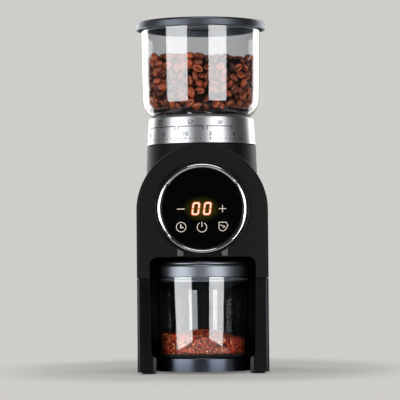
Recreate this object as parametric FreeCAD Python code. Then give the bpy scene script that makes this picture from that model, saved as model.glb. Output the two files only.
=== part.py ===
import FreeCAD, Part
import math
import os
from FreeCAD import Vector

# A burr coffee grinder: a clear hopper stands on a turning adjuster ring, beans fall between a ring
# burr and a driven cone burr, and the grounds drop through a chute into a cup in the front bay.
# Millimetres, +Z up, the front faces -Y, and the origin is on the table under the part's middle.
# The burrs, the adjuster ring and the hopper share the vertical axis x = 0, y = 0.

# Clearances
FIT = 0.15  # between fixed pieces that locate each other
SLIDE = 0.3  # between pieces that move past each other
RUNNING = 0.05  # radial, between a shaft and its bush
SEATED = 0.03  # radial, between pieces that are fixed on one shaft
SCREW_PLAY = 0.05  # radial, round a screw

# Feet and base
FOOT_RADIUS = 7.0
FOOT_HEIGHT = 2.2
FOOT_STEM_RADIUS = 2.5
FOOT_INSET = 11.0
BASE_THICKNESS = 3.0
BASE_CORNER = 6.0

# Cup stand, cup and cup lid
STAND_INSET = 0.7  # stand inside the cup's mouth
STAND_HEIGHT = 13.9
STAND_WALL = 2.6
STAND_EDGE = 1.2
CUP_TOP_RADIUS = 48.9
CUP_TAPER = 4.3
CUP_HEIGHT = 81.0
CUP_WALL = 2.4
CUP_FLOOR = 3.7
CUP_FLOOR_ROUND = 1.5
CUP_BOOT = 3.6  # black rubber boot round the cup's foot
CUP_BOOT_WALL = 1.0
CUP_BOOT_FLOOR = 1.6
CUP_LID_BAND = 12.4
CUP_LID_DOME = 3.3
CUP_LID_WALL = 2.0
CUP_LID_ROUND = 3.0
CUP_LID_STEP = 5.0  # shoulder round the dome
CUP_LID_PLUG = 5.0
CUP_LID_HOLE_RADIUS = 15.0
CUP_SEAL_RADIUS = 0.9  # half the thickness of the round seal

# Bay round the cup
BAY_SIDE_ROOM = 4.5
BAY_TAPER = 1.5  # narrower at the foot, each side
BAY_BACK_ROOM = 5.0
BAY_HEADROOM = 3.95
BAY_WALL = 2.0
BAY_TOP_ROUND = 8.0
BAY_FOOT_ROUND = 6.0
CUP_PROUD = 5.0  # how far the cup stands out of the front face

# Housing
CHEEK_WIDTH = 12.6  # front face beside the bay
BODY_WALL = 3.0
FRONT_ROUND = 3.0
REAR_ROUND = 8.0
REAR_COVER_DEPTH = 15.0
SEAM_BELOW_BAY_TOP = 21.2
SEAM_GAP = 0.4
SEAM_LIP = 4.0
SEAM_LIP_INSET = 8.0
SEAM_EDGE = 0.5
STAND_NOTCH_LAP = 1.2  # stand behind the notch's edge
STAND_NOTCH_CHAMFER = 3.1
STAND_NOTCH_CHAMFER_DEPTH = 1.3
NECK_TOP_RADIUS = 56.4
NECK_FOOT_RADIUS = 58.6
NECK_RISE = 2.8  # neck above the crown of the arch
NECK_WALL = 3.2
LEDGE_THICKNESS = 4.0
LEDGE_WIDTH = 8.0
LEDGE_DEPTH = 14.0  # ledge top below the neck top
BOSS_RADIUS = 3.4
BOSS_OFF_WALL = 0.5  # bridged by a rib
BOSS_RIB = 3.0
BOSS_LENGTH = 22.0
CROSS_WALL_HEIGHT = 48.0
VENT_COUNT = 9
VENT_PITCH = 7.0
VENT_WIDTH = 58.0
VENT_HEIGHT = 3.0
VENT_FOOT_Z = 58.0

# Control panel, sizes outwards from the front face
PANEL_FLANGE = 3.9  # rim of the panel beyond its barrel
PANEL_OVER_BAY = 1.0
PANEL_OVER_ARCH_CENTRE = 2.0
PANEL_PROUD = 2.6
PANEL_BARREL_RADIUS = 43.6
PANEL_BARREL_WALL = 4.0
PANEL_BARREL_DEPTH = 9.0
PANEL_SEAT = 0.8
BEZEL_WIDTH = 4.0
BEZEL_RIM = 2.8  # black rim outside the chrome
BEZEL_HEIGHT = 4.6
CHIN_HALF = 19.3  # flat-footed chin under the round panel
CHIN_CHAMFER = 5.9
CHIN_PROUD = 2.0
GLASS_THICKNESS = 2.6
BOARD_THICKNESS = 1.6
BOARD_BEHIND_SEAT = 3.2
DIGITS_WIDTH = 30.0
DIGITS_HEIGHT = 17.0
TOUCH_POST_RADIUS = 4.0
TOUCH_SPACING = 21.0
TOUCH_DROP = 18.5

# Adjuster ring
RING_GAP = 1.0
RING_HEIGHT = 27.2
RING_FOOT_RADIUS = 56.1
RING_TOP_RADIUS = 54.4
RING_SHEET = 1.3
CORE_WALL = 8.0
CORE_RECESS = 0.5  # core top below the sleeve's top edge
CORE_SKIRT = 2.5
LUG_COUNT = 3
LUG_WIDTH = 12.0
LUG_REACH = 3.0
GASKET_HEIGHT = 2.8
GASKET_WIDTH = 5.0

# Hopper and lid
HOPPER_TOP_RADIUS = 61.7
HOPPER_WAIST_RADIUS = 60.3
HOPPER_FOOT_INSET = 2.8  # hopper foot inside the ring's top
HOPPER_ROUND = 23.0
HOPPER_INNER_ROUND = 13.0
HOPPER_HEIGHT = 94.4
HOPPER_WALL = 2.6
HOPPER_SHOULDER = 7.8  # height where the drawn-in foot would meet the wall
SPIGOT_LENGTH = 13.0
SPIGOT_ROOM = 1.8
LID_OVERHANG = 5.1
LID_RIM_HEIGHT = 8.0
LID_PLATE = 3.1
LID_RIM_WIDTH = 9.0
LID_RIM_WALL = 2.6
LID_TOP_ROUND = 2.2
LID_PLUG = 6.0
LID_PANEL_RECESS = 0.8
LID_PANEL_THICKNESS = 2.0
LID_DISH_RADIUS = 24.0
LID_DISH_DEPTH = 0.9
SEAL_THICKNESS = 1.4
SEAL_HEIGHT = 3.0

# Burrs and grind chamber
CONE_FOOT_RADIUS = 20.0
CONE_TOP_RADIUS = 9.0
CONE_HEIGHT = 28.0
CONE_BLADES = 9
CONE_FLUTE = 2.6
CONE_TWIST_DEG = 24.0
BURR_GAP = 0.7
RING_BURR_RADIUS = 30.0
RING_BURR_HEIGHT = 22.0
RING_BURR_TEETH = 27
RING_BURR_FLUTE = 1.4
RING_BURR_THROAT = 6.0  # widening of the ring burr towards its mouth
CARRIER_RADIUS = 40.6
CARRIER_WALL = 2.6
CARRIER_BELOW_NECK = 27.0
CARRIER_ABOVE_RING_FOOT = 12.0
LUG_HEIGHT = 8.0
CHAMBER_WALL = 3.0
CHAMBER_FLOOR = 4.0
CHAMBER_BELOW_RIM = 46.0
CHAMBER_COLUMN_RADIUS = 13.0
CHAMBER_FLANGE = 4.0
IMPELLER_RADIUS = 38.0
IMPELLER_DISC = 2.5
IMPELLER_PADDLES = 4
IMPELLER_PADDLE_HEIGHT = 9.0
IMPELLER_PADDLE_WIDTH = 3.0
IMPELLER_HUB_RADIUS = 9.0
SHAFT_RADIUS = 5.0
BUSH_WALL = 2.5
BUSH_LENGTH = 8.0
NUT_RADIUS = 7.5
NUT_HEIGHT = 5.0

# Chute
CHUTE_WIDTH = 24.0
CHUTE_DEPTH = 14.0
CHUTE_OUTLET = 18.0
CHUTE_WALL = 1.8
CHUTE_MOUTH_HEIGHT = 15.0

# Gears: the motor pinion drives the idler's wheel, and the idler's pinion drives the output gear
PRESSURE_ANGLE_DEG = 20.0
ADDENDUM = 0.85  # in modules
DEDENDUM = 1.15  # in modules
BACKLASH = 0.2
MESH_PLAY = 0.06  # added to each centre distance
FLANK_POINTS = 4
FAST_MODULE = 0.8
MOTOR_PINION_TEETH = 15
IDLER_WHEEL_TEETH = 60
SLOW_MODULE = 1.0
IDLER_PINION_TEETH = 16
OUTPUT_TEETH = 64
OUTPUT_FACE = 10.0
WHEEL_FACE = 7.0
GEAR_GAP = 1.5
IDLER_PIN_RADIUS = 3.0
GEAR_CASE_WALL = 2.5
GEAR_CASE_FLOOR = 3.0
GEAR_CASE_COVER = 3.0
GEAR_CASE_CORNER = 10.0
GEAR_ROOM = 1.5
MOUNT_RADIUS = 6.0
MOUNT_HEIGHT = 3.0
MOUNT_INSET = 9.0

# Motor
MOTOR_RADIUS = 26.0
MOTOR_LENGTH = 62.0
MOTOR_SHELL = 1.6
MOTOR_CAP = 6.0
MOTOR_FROM_BAY = 16.0
MOTOR_REAR_ROOM = 15.7
MOTOR_SHAFT_RADIUS = 2.5
MOTOR_BOLT_CIRCLE = 16.0
MAGNET_THICKNESS = 4.5
MAGNET_SPAN_DEG = 130.0
MAGNET_END_ROOM = 7.0
AIR_GAP = 0.8
ARMATURE_SLOTS = 5
ARMATURE_SLOT_WIDTH = 3.0
ARMATURE_SLOT_DEPTH = 9.0
COMMUTATOR_RADIUS = 8.0
COMMUTATOR_LENGTH = 8.0

# Power board and cord gland
POWER_BOARD_LENGTH = 60.0
POWER_BOARD_HEIGHT = 62.0
POWER_BOARD_FOOT_Z = 24.0
POWER_BOARD_POST = 8.0
POWER_BOARD_POST_RADIUS = 3.2
POWER_BOARD_POST_INSET = 5.0
TRANSFORMER_HEIGHT = 16.0
RELAY_HEIGHT = 12.0
TERMINAL_HEIGHT = 9.0
HEAT_SINK_HEIGHT = 10.0
CAPACITOR_RADIUS = 6.0
CAPACITOR_HEIGHT = 14.0
GLAND_FROM_SIDE = 28.0
GLAND_Z = 24.0
GLAND_RADIUS = 6.0
GLAND_BORE_RADIUS = 3.6
GLAND_FLANGE = 1.0
GLAND_FLANGE_WIDTH = 2.4

# Screws
SCREW_RADIUS = 1.5
SCREW_HEAD_RADIUS = 2.8
SCREW_HEAD = 1.7
SCREW_LENGTH = 14.0

# Radii that follow
STAND_RADIUS = CUP_TOP_RADIUS - STAND_INSET
CUP_FOOT_RADIUS = CUP_TOP_RADIUS - CUP_TAPER
PANEL_RADIUS = PANEL_BARREL_RADIUS + PANEL_FLANGE
CORE_INNER_RADIUS = RING_TOP_RADIUS - CORE_WALL
SPIGOT_RADIUS = CORE_INNER_RADIUS - SPIGOT_ROOM
HOPPER_FOOT_RADIUS = RING_TOP_RADIUS - HOPPER_FOOT_INSET

# Heights that follow, from the table upwards
BODY_FOOT_Z = FOOT_HEIGHT
STAND_TOP_Z = BODY_FOOT_Z + STAND_HEIGHT
CUP_Z = STAND_TOP_Z + SLIDE
CUP_TOP_Z = CUP_Z + CUP_HEIGHT
CUP_LID_Z = CUP_TOP_Z + FIT
CUP_LID_TOP_Z = CUP_LID_Z + CUP_LID_BAND + CUP_LID_DOME
BAY_TOP_Z = CUP_LID_TOP_Z + BAY_HEADROOM
SEAM_Z = BAY_TOP_Z - SEAM_BELOW_BAY_TOP
BAY_ROOF_Z = BAY_TOP_Z + BAY_WALL
PANEL_Z = BAY_TOP_Z + PANEL_OVER_BAY + PANEL_RADIUS
ARCH_Z = PANEL_Z - PANEL_OVER_ARCH_CENTRE

# Widths and depths that follow
CUP_LID_RADIUS = CUP_TOP_RADIUS
BAY_HALF = CUP_LID_RADIUS + BAY_SIDE_ROOM
BODY_HALF = BAY_HALF + CHEEK_WIDTH
GLAND_X = BODY_HALF - GLAND_FROM_SIDE
NECK_TOP_Z = ARCH_Z + BODY_HALF + NECK_RISE
NECK_BORE_RADIUS = NECK_TOP_RADIUS - NECK_WALL
STAND_NOTCH_HALF = STAND_RADIUS - STAND_NOTCH_LAP
OUTPUT_TIP = SLOW_MODULE * (OUTPUT_TEETH / 2 + ADDENDUM)
GEAR_CASE_FRONT_Y = -(OUTPUT_TIP + GEAR_ROOM + GEAR_CASE_WALL)
CUP_Y = GEAR_CASE_FRONT_Y - GEAR_ROOM - CHUTE_OUTLET / 2
FRONT_Y = CUP_Y - CUP_TOP_RADIUS + CUP_PROUD
BAY_REAR_Y = CUP_Y + CUP_TOP_RADIUS + BAY_BACK_ROOM
MOTOR_Y = BAY_REAR_Y + BAY_WALL + MOTOR_FROM_BAY + MOTOR_RADIUS
REAR_Y = MOTOR_Y + MOTOR_RADIUS + MOTOR_REAR_ROOM + BODY_WALL
JOINT_Y = REAR_Y - REAR_COVER_DEPTH
HOUSING_REAR_Y = JOINT_Y - SEAM_GAP

# Stack above the neck
RING_Z = NECK_TOP_Z + RING_GAP
RING_TOP_Z = RING_Z + RING_HEIGHT
CORE_TOP_Z = RING_TOP_Z - CORE_RECESS
HOPPER_Z = CORE_TOP_Z + GASKET_HEIGHT + SLIDE
HOPPER_RIM_Z = HOPPER_Z + HOPPER_HEIGHT
SPIGOT_Z = HOPPER_Z - SPIGOT_LENGTH
LID_PLATE_Z = HOPPER_RIM_Z + SLIDE
LID_TOP_Z = LID_PLATE_Z + LID_PLATE
LID_RADIUS = HOPPER_TOP_RADIUS + LID_OVERHANG
HOPPER_MOUTH_RADIUS = HOPPER_TOP_RADIUS - HOPPER_WALL

# Drive line
GEAR_CASE_Z = BAY_ROOF_Z + MOUNT_HEIGHT
GEAR_FLOOR_Z = GEAR_CASE_Z + GEAR_CASE_FLOOR
OUTPUT_Z = GEAR_FLOOR_Z + GEAR_GAP
WHEEL_Z = OUTPUT_Z + OUTPUT_FACE + GEAR_GAP
GEAR_COVER_Z = WHEEL_Z + WHEEL_FACE + GEAR_GAP
CHAMBER_FOOT_Z = GEAR_COVER_Z + GEAR_CASE_COVER
LEDGE_TOP_Z = NECK_TOP_Z - LEDGE_DEPTH
CHAMBER_RIM_Z = NECK_TOP_Z - RING_GAP
CHAMBER_FLOOR_Z = CHAMBER_RIM_Z - CHAMBER_BELOW_RIM
CHAMBER_BORE_RADIUS = CARRIER_RADIUS + SLIDE
CHAMBER_RADIUS = CHAMBER_BORE_RADIUS + CHAMBER_WALL
IMPELLER_Z = CHAMBER_FLOOR_Z + GEAR_GAP
CARRIER_FOOT_Z = NECK_TOP_Z - CARRIER_BELOW_NECK
CARRIER_TOP_Z = RING_Z + CARRIER_ABOVE_RING_FOOT
CONE_Z = CARRIER_FOOT_Z - 2 * GEAR_GAP
CONE_TOP_Z = CONE_Z + CONE_HEIGHT
LUG_RADIUS = CORE_INNER_RADIUS + LUG_REACH
FAST_CENTRES = FAST_MODULE * (MOTOR_PINION_TEETH + IDLER_WHEEL_TEETH) / 2 + MESH_PLAY
SLOW_CENTRES = SLOW_MODULE * (IDLER_PINION_TEETH + OUTPUT_TEETH) / 2 + MESH_PLAY
IDLER_Y = (SLOW_CENTRES**2 - FAST_CENTRES**2 + MOTOR_Y**2) / (2 * MOTOR_Y)
IDLER_X = math.sqrt(SLOW_CENTRES**2 - IDLER_Y**2)
WHEEL_TIP = FAST_MODULE * (IDLER_WHEEL_TEETH / 2 + ADDENDUM)
MOTOR_TOP_Z = GEAR_CASE_Z
MOTOR_FOOT_Z = MOTOR_TOP_Z - MOTOR_LENGTH

UP = Vector(0, 0, 1)
BACK = Vector(0, 1, 0)
RIGHT = Vector(1, 0, 0)


# Helpers

def outline(corners, place):
    """Closed wire through corners (u, v) or (u, v, rounding); place maps (u, v) to a point."""
    spots = [(Vector(c[0], c[1], 0), c[2] if len(c) > 2 else 0.0) for c in corners]
    pieces = []
    for i, (spot, rounding) in enumerate(spots):
        if not rounding:
            pieces.append((spot, spot, spot))
            continue
        before = (spots[i - 1][0] - spot).normalize()
        after = (spots[(i + 1) % len(spots)][0] - spot).normalize()
        half = before.getAngle(after) / 2
        reach = rounding / math.tan(half)
        middle = (before + after).normalize() * (rounding / math.sin(half) - rounding)
        pieces.append((spot + before * reach, spot + middle, spot + after * reach))
    edges = []
    for i, (start, middle, end) in enumerate(pieces):
        last = pieces[i - 1][2]
        if last.distanceToPoint(start) > 1e-6:
            edges.append(Part.LineSegment(place(last.x, last.y), place(start.x, start.y)).toShape())
        if start.distanceToPoint(end) > 1e-6:
            arc = Part.Arc(place(start.x, start.y), place(middle.x, middle.y), place(end.x, end.y))
            edges.append(arc.toShape())
    return Part.Wire(Part.__sortEdges__(edges))


def on_xz(y):
    """Places an outline upright, facing the front, at depth y."""
    return lambda u, v: Vector(u, y, v)


def on_xy(z):
    """Places an outline level, at height z."""
    return lambda u, v: Vector(u, v, z)


def prism(corners, place, travel):
    """Solid of an outline pushed along the vector travel."""
    return Part.Face(outline(corners, place)).extrude(travel)


def turned(corners, y=0.0):
    """Solid of an outline (radius, z) turned about the upright line x = 0 at depth y."""
    solid = Part.Face(outline(corners, on_xz(0.0))).revolve(Vector(0, 0, 0), UP, 360)
    solid.translate(Vector(0, y, 0))
    return solid


def turned_panel(corners):
    """Solid of an outline (radius, height out of the front face) turned about the panel's axis."""
    place = lambda u, v: Vector(u, FRONT_Y - v, PANEL_Z)
    return Part.Face(outline(corners, place)).revolve(Vector(0, FRONT_Y, PANEL_Z), BACK, 360)


def block(x, y, z):
    """Box between the pairs x, y and z."""
    size = Vector(x[1] - x[0], y[1] - y[0], z[1] - z[0])
    return Part.makeBox(size.x, size.y, size.z, Vector(x[0], y[0], z[0]))


def post(radius, foot, top, x=0.0, y=0.0):
    """Upright round bar."""
    return Part.makeCylinder(radius, top - foot, Vector(x, y, foot), UP)


def rod(radius, start, length, direction):
    """Round bar along a direction."""
    return Part.makeCylinder(radius, length, start, direction)


def rounded_box(half, foot, top, foot_round, top_round):
    """Corners of an upright rectangle with rounded corners, centred on x = 0."""
    return [(-half, foot, foot_round), (half, foot, foot_round),
            (half, top, top_round), (-half, top, top_round)]


def arch(half, foot, y, length):
    """Prism with straight sides and a half-round crown about the arch centre."""
    left, right = Vector(-half, y, ARCH_Z), Vector(half, y, ARCH_Z)
    crown = Part.Arc(right, Vector(0, y, ARCH_Z + half), left).toShape()
    corners = [left, Vector(-half, y, foot), Vector(half, y, foot), right]
    sides = [Part.LineSegment(a, b).toShape() for a, b in zip(corners, corners[1:])]
    return Part.Face(Part.Wire(sides + [crown])).extrude(Vector(0, length, 0))


def round_end(solid, y, rounding, foot):
    """Rounds the edges of the face at depth y, apart from those along the height foot."""
    edges = []
    for edge in solid.Edges:
        box = edge.BoundBox
        level_foot = box.ZMax - foot < 1e-6
        if abs(box.YMin - y) < 1e-6 and abs(box.YMax - y) < 1e-6 and not level_foot:
            edges.append(edge)
    return solid.makeFillet(rounding, edges)


def ring_of(count, solid, axis_y=0.0, start_deg=0.0):
    """Copies of a solid, evenly spaced round the upright line at depth axis_y."""
    copies = []
    for i in range(count):
        copy = solid.copy()
        copy.rotate(Vector(0, axis_y, 0), UP, start_deg + i * 360.0 / count)
        copies.append(copy)
    return copies


def wall_rib(x, y, z):
    """Rib from a boss at x to the nearer side wall, across the pairs y and z."""
    edge = math.copysign(BODY_HALF - BODY_WALL / 2, x)
    return block((min(x, edge), max(x, edge)), y, z)


def lying_boss(seat):
    """Boss with its rib for a screw from the rear."""
    front, half = HOUSING_REAR_Y - BOSS_LENGTH, BOSS_RIB / 2
    boss = rod(BOSS_RADIUS, Vector(seat.x, front, seat.z), BOSS_LENGTH, BACK)
    return boss.fuse(wall_rib(seat.x, (front, HOUSING_REAR_Y), (seat.z - half, seat.z + half)))


def standing_boss(seat):
    """Boss with its rib for a screw from below."""
    foot, half = BODY_FOOT_Z + BASE_THICKNESS, BOSS_RIB / 2
    boss = post(BOSS_RADIUS, foot, foot + BOSS_LENGTH, seat.x, seat.y)
    return boss.fuse(wall_rib(seat.x, (seat.y - half, seat.y + half), (foot, foot + BOSS_LENGTH)))


def screw(place, inwards, length=SCREW_LENGTH):
    """Pan head screw: place is the middle of the seat under its head."""
    head = Part.makeCylinder(SCREW_HEAD_RADIUS, SCREW_HEAD, place, -inwards)
    shank = Part.makeCylinder(SCREW_RADIUS, length, place, inwards)
    slot = Part.makeCylinder(SCREW_RADIUS * 0.7, SCREW_HEAD / 2, place - inwards * SCREW_HEAD, inwards)
    return head.fuse(shank).cut(slot).removeSplitter()


def screw_hole(place, inwards, length=SCREW_LENGTH):
    """Clearance bore for screw(), open past its tip."""
    return Part.makeCylinder(SCREW_RADIUS + SCREW_PLAY, 2 * length, place - inwards * length / 2, inwards)


def head_pocket(place, inwards):
    """Counterbore for the head of screw(), open outwards."""
    return Part.makeCylinder(SCREW_HEAD_RADIUS + FIT, SCREW_HEAD * 3, place, -inwards)


def gear(teeth, module, foot, face, x, y, tooth_deg):
    """Spur gear with involute flanks, one tooth centred on the direction tooth_deg."""
    pressure = math.radians(PRESSURE_ANGLE_DEG)
    pitch = module * teeth / 2
    base = pitch * math.cos(pressure)
    tip = pitch + ADDENDUM * module
    root = pitch - DEDENDUM * module
    start = max(base, root)
    half_at_pitch = math.pi / (2 * teeth) - BACKLASH / (4 * pitch)
    flank = []
    for k in range(FLANK_POINTS):
        radius = start + (tip - start) * k / (FLANK_POINTS - 1)
        turn = math.acos(min(1.0, base / radius))
        half = half_at_pitch + math.tan(pressure) - pressure - math.tan(turn) + turn
        flank.append((radius, half))
    if root < start:
        flank.insert(0, (root, flank[0][1]))
    points = []
    for i in range(teeth):
        middle = math.radians(tooth_deg) + 2 * math.pi * i / teeth
        side = [(r, middle - h) for r, h in flank] + [(r, middle + h) for r, h in reversed(flank)]
        points += [Vector(x + r * math.cos(a), y + r * math.sin(a), foot) for r, a in side]
    return Part.Face(Part.makePolygon(points + points[:1])).extrude(Vector(0, 0, face))


def star(count, tip, valley, z, turn_deg):
    """Closed wire of a star with count tips, at height z."""
    points = []
    for i in range(2 * count):
        angle = math.radians(turn_deg + 180.0 * i / count)
        radius = valley if i % 2 else tip
        points.append(Vector(radius * math.cos(angle), radius * math.sin(angle), z))
    return Part.makePolygon(points + points[:1])


# Places of the fasteners

BOSS_X = BODY_HALF - BODY_WALL - BOSS_OFF_WALL - BOSS_RADIUS


def rear_screw_places():
    """Seats of the rear cover's screws: two beside the base, two in the arch."""
    y = REAR_Y - BODY_WALL
    low = BODY_FOOT_Z + BASE_THICKNESS + 3 * BOSS_RADIUS
    return [Vector(s * BOSS_X, y, z) for s in (-1, 1) for z in (low, ARCH_Z)]


def base_screw_places():
    """Seats of the base plate's screws, on its underside pockets."""
    ends = (FRONT_Y + BODY_WALL + 2 * BOSS_RADIUS, HOUSING_REAR_Y - 2 * BOSS_LENGTH)
    return [Vector(s * BOSS_X, y, BODY_FOOT_Z + SCREW_HEAD) for s in (-1, 1) for y in ends]


def foot_places():
    """Middles of the rubber feet."""
    x = BODY_HALF - FOOT_INSET
    ends = (FRONT_Y + FOOT_INSET + 3 * BOSS_RADIUS, HOUSING_REAR_Y - FOOT_INSET)
    return [(s * x, y) for s in (-1, 1) for y in ends]


def board_post_places():
    """Middles of the power board's fixing holes as (y, z)."""
    inset = POWER_BOARD_POST_INSET
    y0 = MOTOR_Y - POWER_BOARD_LENGTH / 2
    ys = (y0 + inset, y0 + POWER_BOARD_LENGTH - inset)
    zs = (POWER_BOARD_FOOT_Z + inset, POWER_BOARD_FOOT_Z + POWER_BOARD_HEIGHT - inset)
    return [(y, z) for y in ys for z in zs]


def gear_case_box():
    """Low and high x and y of the gear case's outside."""
    room = GEAR_ROOM + GEAR_CASE_WALL
    left = -(OUTPUT_TIP + room)
    right = max(OUTPUT_TIP, IDLER_X + WHEEL_TIP) + room
    rear = MOTOR_Y + MOTOR_BOLT_CIRCLE + SCREW_HEAD_RADIUS + room
    return left, right, GEAR_CASE_FRONT_Y, rear


def mount_places():
    """Middles of the rubber mounts on the bay roof."""
    left, right, front, rear = gear_case_box()
    ys = (front + MOUNT_INSET, BAY_REAR_Y - MOUNT_INSET)
    return [(x, y) for x in (left + MOUNT_INSET, -left - MOUNT_INSET) for y in ys]


# Feet, base, stand and bay

def rubber_feet():
    foot = [(0, 0), (FOOT_RADIUS, 0, 0.8), (FOOT_RADIUS, FOOT_HEIGHT), (FOOT_STEM_RADIUS, FOOT_HEIGHT),
            (FOOT_STEM_RADIUS, FOOT_HEIGHT + BASE_THICKNESS), (0, FOOT_HEIGHT + BASE_THICKNESS)]
    feet = []
    for x, y in foot_places():
        solid = turned(foot)
        solid.translate(Vector(x, y, 0))
        feet.append(solid)
    return Part.Compound(feet)


def base_plate():
    half = BODY_HALF - BODY_WALL - FIT
    front, rear = FRONT_Y + BODY_WALL + FIT, HOUSING_REAR_Y
    corners = [(-half, front, BASE_CORNER), (half, front, BASE_CORNER), (half, rear), (-half, rear)]
    plate = prism(corners, on_xy(BODY_FOOT_Z), UP * BASE_THICKNESS)
    top = BODY_FOOT_Z + BASE_THICKNESS
    plate = plate.cut(post(STAND_RADIUS + FIT, 0, 2 * top, y=CUP_Y)).cut(stand_notch(2 * top))
    for x, y in foot_places():
        plate = plate.cut(post(FOOT_STEM_RADIUS + SEATED, 0, 2 * top, x, y))
    for seat in base_screw_places():
        plate = plate.cut(screw_hole(seat, UP)).cut(head_pocket(seat, UP))
    return plate


def cup_stand():
    inner = STAND_RADIUS - STAND_WALL
    profile = [(0, STAND_TOP_Z), (0, STAND_TOP_Z - STAND_WALL), (inner, STAND_TOP_Z - STAND_WALL),
               (inner, BODY_FOOT_Z), (STAND_RADIUS, BODY_FOOT_Z), (STAND_RADIUS, STAND_TOP_Z, STAND_EDGE)]
    return turned(profile, CUP_Y)


def stand_notch(top):
    """Room in front of the stand, open to the front face."""
    return block((-STAND_NOTCH_HALF, STAND_NOTCH_HALF), (FRONT_Y - 1, CUP_Y), (0, top))


def bay_outline(grow):
    """Corners of the bay's opening, grown outwards."""
    foot_half, half = BAY_HALF - BAY_TAPER + grow, BAY_HALF + grow
    foot, top = STAND_TOP_Z - grow, BAY_TOP_Z + grow
    foot_round, top_round = BAY_FOOT_ROUND + grow, BAY_TOP_ROUND + grow
    return [(-foot_half, foot, foot_round), (foot_half, foot, foot_round),
            (half, top, top_round), (-half, top, top_round)]


def cup_bay():
    front = FRONT_Y + BODY_WALL + FIT
    shell = prism(bay_outline(BAY_WALL), on_xz(front), BACK * (BAY_REAR_Y + BAY_WALL - front))
    shell = shell.cut(prism(bay_outline(0), on_xz(front - 1), BACK * (BAY_REAR_Y - front + 1)))
    shell = shell.cut(post(STAND_RADIUS + FIT, 0, STAND_TOP_Z + 1, y=CUP_Y))
    shell = shell.cut(stand_notch(STAND_TOP_Z + 1))
    reach = CHUTE_OUTLET / 2 + FIT
    hole = block((-reach, reach), (CUP_Y - reach, CUP_Y + reach), (BAY_TOP_Z - 1, BAY_ROOF_Z + 1))
    return shell.cut(hole)


# Housing

def lower_housing():
    top = SEAM_Z - SEAM_GAP
    inner = BODY_HALF - BODY_WALL
    shell = block((-BODY_HALF, BODY_HALF), (FRONT_Y, HOUSING_REAR_Y), (BODY_FOOT_Z, top))
    front_edges = [e for e in shell.Edges
                   if abs(e.BoundBox.YMax - FRONT_Y) < 1e-6 and e.BoundBox.ZLength > top / 2]
    shell = shell.makeFillet(FRONT_ROUND, front_edges)
    rim = [e for e in shell.Edges if e.BoundBox.ZMin > top - 1e-6 and e.BoundBox.YMin < HOUSING_REAR_Y - 1]
    shell = shell.makeChamfer(SEAM_EDGE, rim)
    shell = shell.cut(block((-inner, inner), (FRONT_Y + BODY_WALL, REAR_Y), (0, 2 * top)))
    shell = shell.cut(prism(bay_outline(0), on_xz(FRONT_Y - 1), BACK * (BODY_WALL + 2)))
    half, flare = STAND_NOTCH_HALF, STAND_NOTCH_CHAMFER
    inward, behind = FRONT_Y + STAND_NOTCH_CHAMFER_DEPTH, FRONT_Y + 2 * BODY_WALL
    notch = [(-half - flare, FRONT_Y), (half + flare, FRONT_Y), (half, inward),
             (half, behind), (-half, behind), (-half, inward)]
    shell = shell.cut(prism(notch, on_xy(0), UP * (STAND_TOP_Z + BAY_FOOT_ROUND)))
    lip = BODY_HALF - BODY_WALL / 2 - FIT
    depth = (FRONT_Y + SEAM_LIP_INSET, HOUSING_REAR_Y)
    bosses = [block(side, depth, (top - SEAM_LIP, top + SEAM_LIP)) for side in ((-lip, -inner), (inner, lip))]
    bosses += [lying_boss(seat) for seat in rear_screw_places() if seat.z < SEAM_Z]
    bosses += [standing_boss(seat) for seat in base_screw_places()]
    foot = BODY_FOOT_Z + BASE_THICKNESS
    cheek_end = CUP_Y - math.sqrt((STAND_RADIUS + FIT) ** 2 - half ** 2)
    cheek_top = STAND_TOP_Z - BAY_WALL - FIT
    for side in ((-half - BODY_WALL, -half), (half, half + BODY_WALL)):
        bosses.append(block(side, (FRONT_Y + BODY_WALL / 2, cheek_end), (foot + FIT, cheek_top)))
    wall_y = BAY_REAR_Y + BAY_WALL + FIT
    bosses.append(block((-inner, inner), (wall_y, wall_y + BODY_WALL), (foot, foot + CROSS_WALL_HEIGHT)))
    post_x = -inner
    for y, z in board_post_places():
        bosses.append(rod(POWER_BOARD_POST_RADIUS, Vector(post_x - BODY_WALL / 2, y, z),
                          POWER_BOARD_POST + BODY_WALL / 2, RIGHT))
    shell = shell.fuse(bosses)
    for seat in rear_screw_places():
        shell = shell.cut(screw_hole(seat, -BACK, BOSS_LENGTH))
    for seat in base_screw_places():
        shell = shell.cut(screw_hole(seat, UP))
    for y, z in board_post_places():
        start = Vector(post_x, y, z)
        shell = shell.cut(rod(SCREW_RADIUS + SCREW_PLAY, start, POWER_BOARD_POST + 1, RIGHT))
    return shell.removeSplitter()


def neck_cone(foot_radius, top_radius, foot, top):
    """Round upright drum that narrows evenly upwards."""
    return Part.makeCone(foot_radius, top_radius, top - foot, Vector(0, 0, foot), UP)


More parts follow.
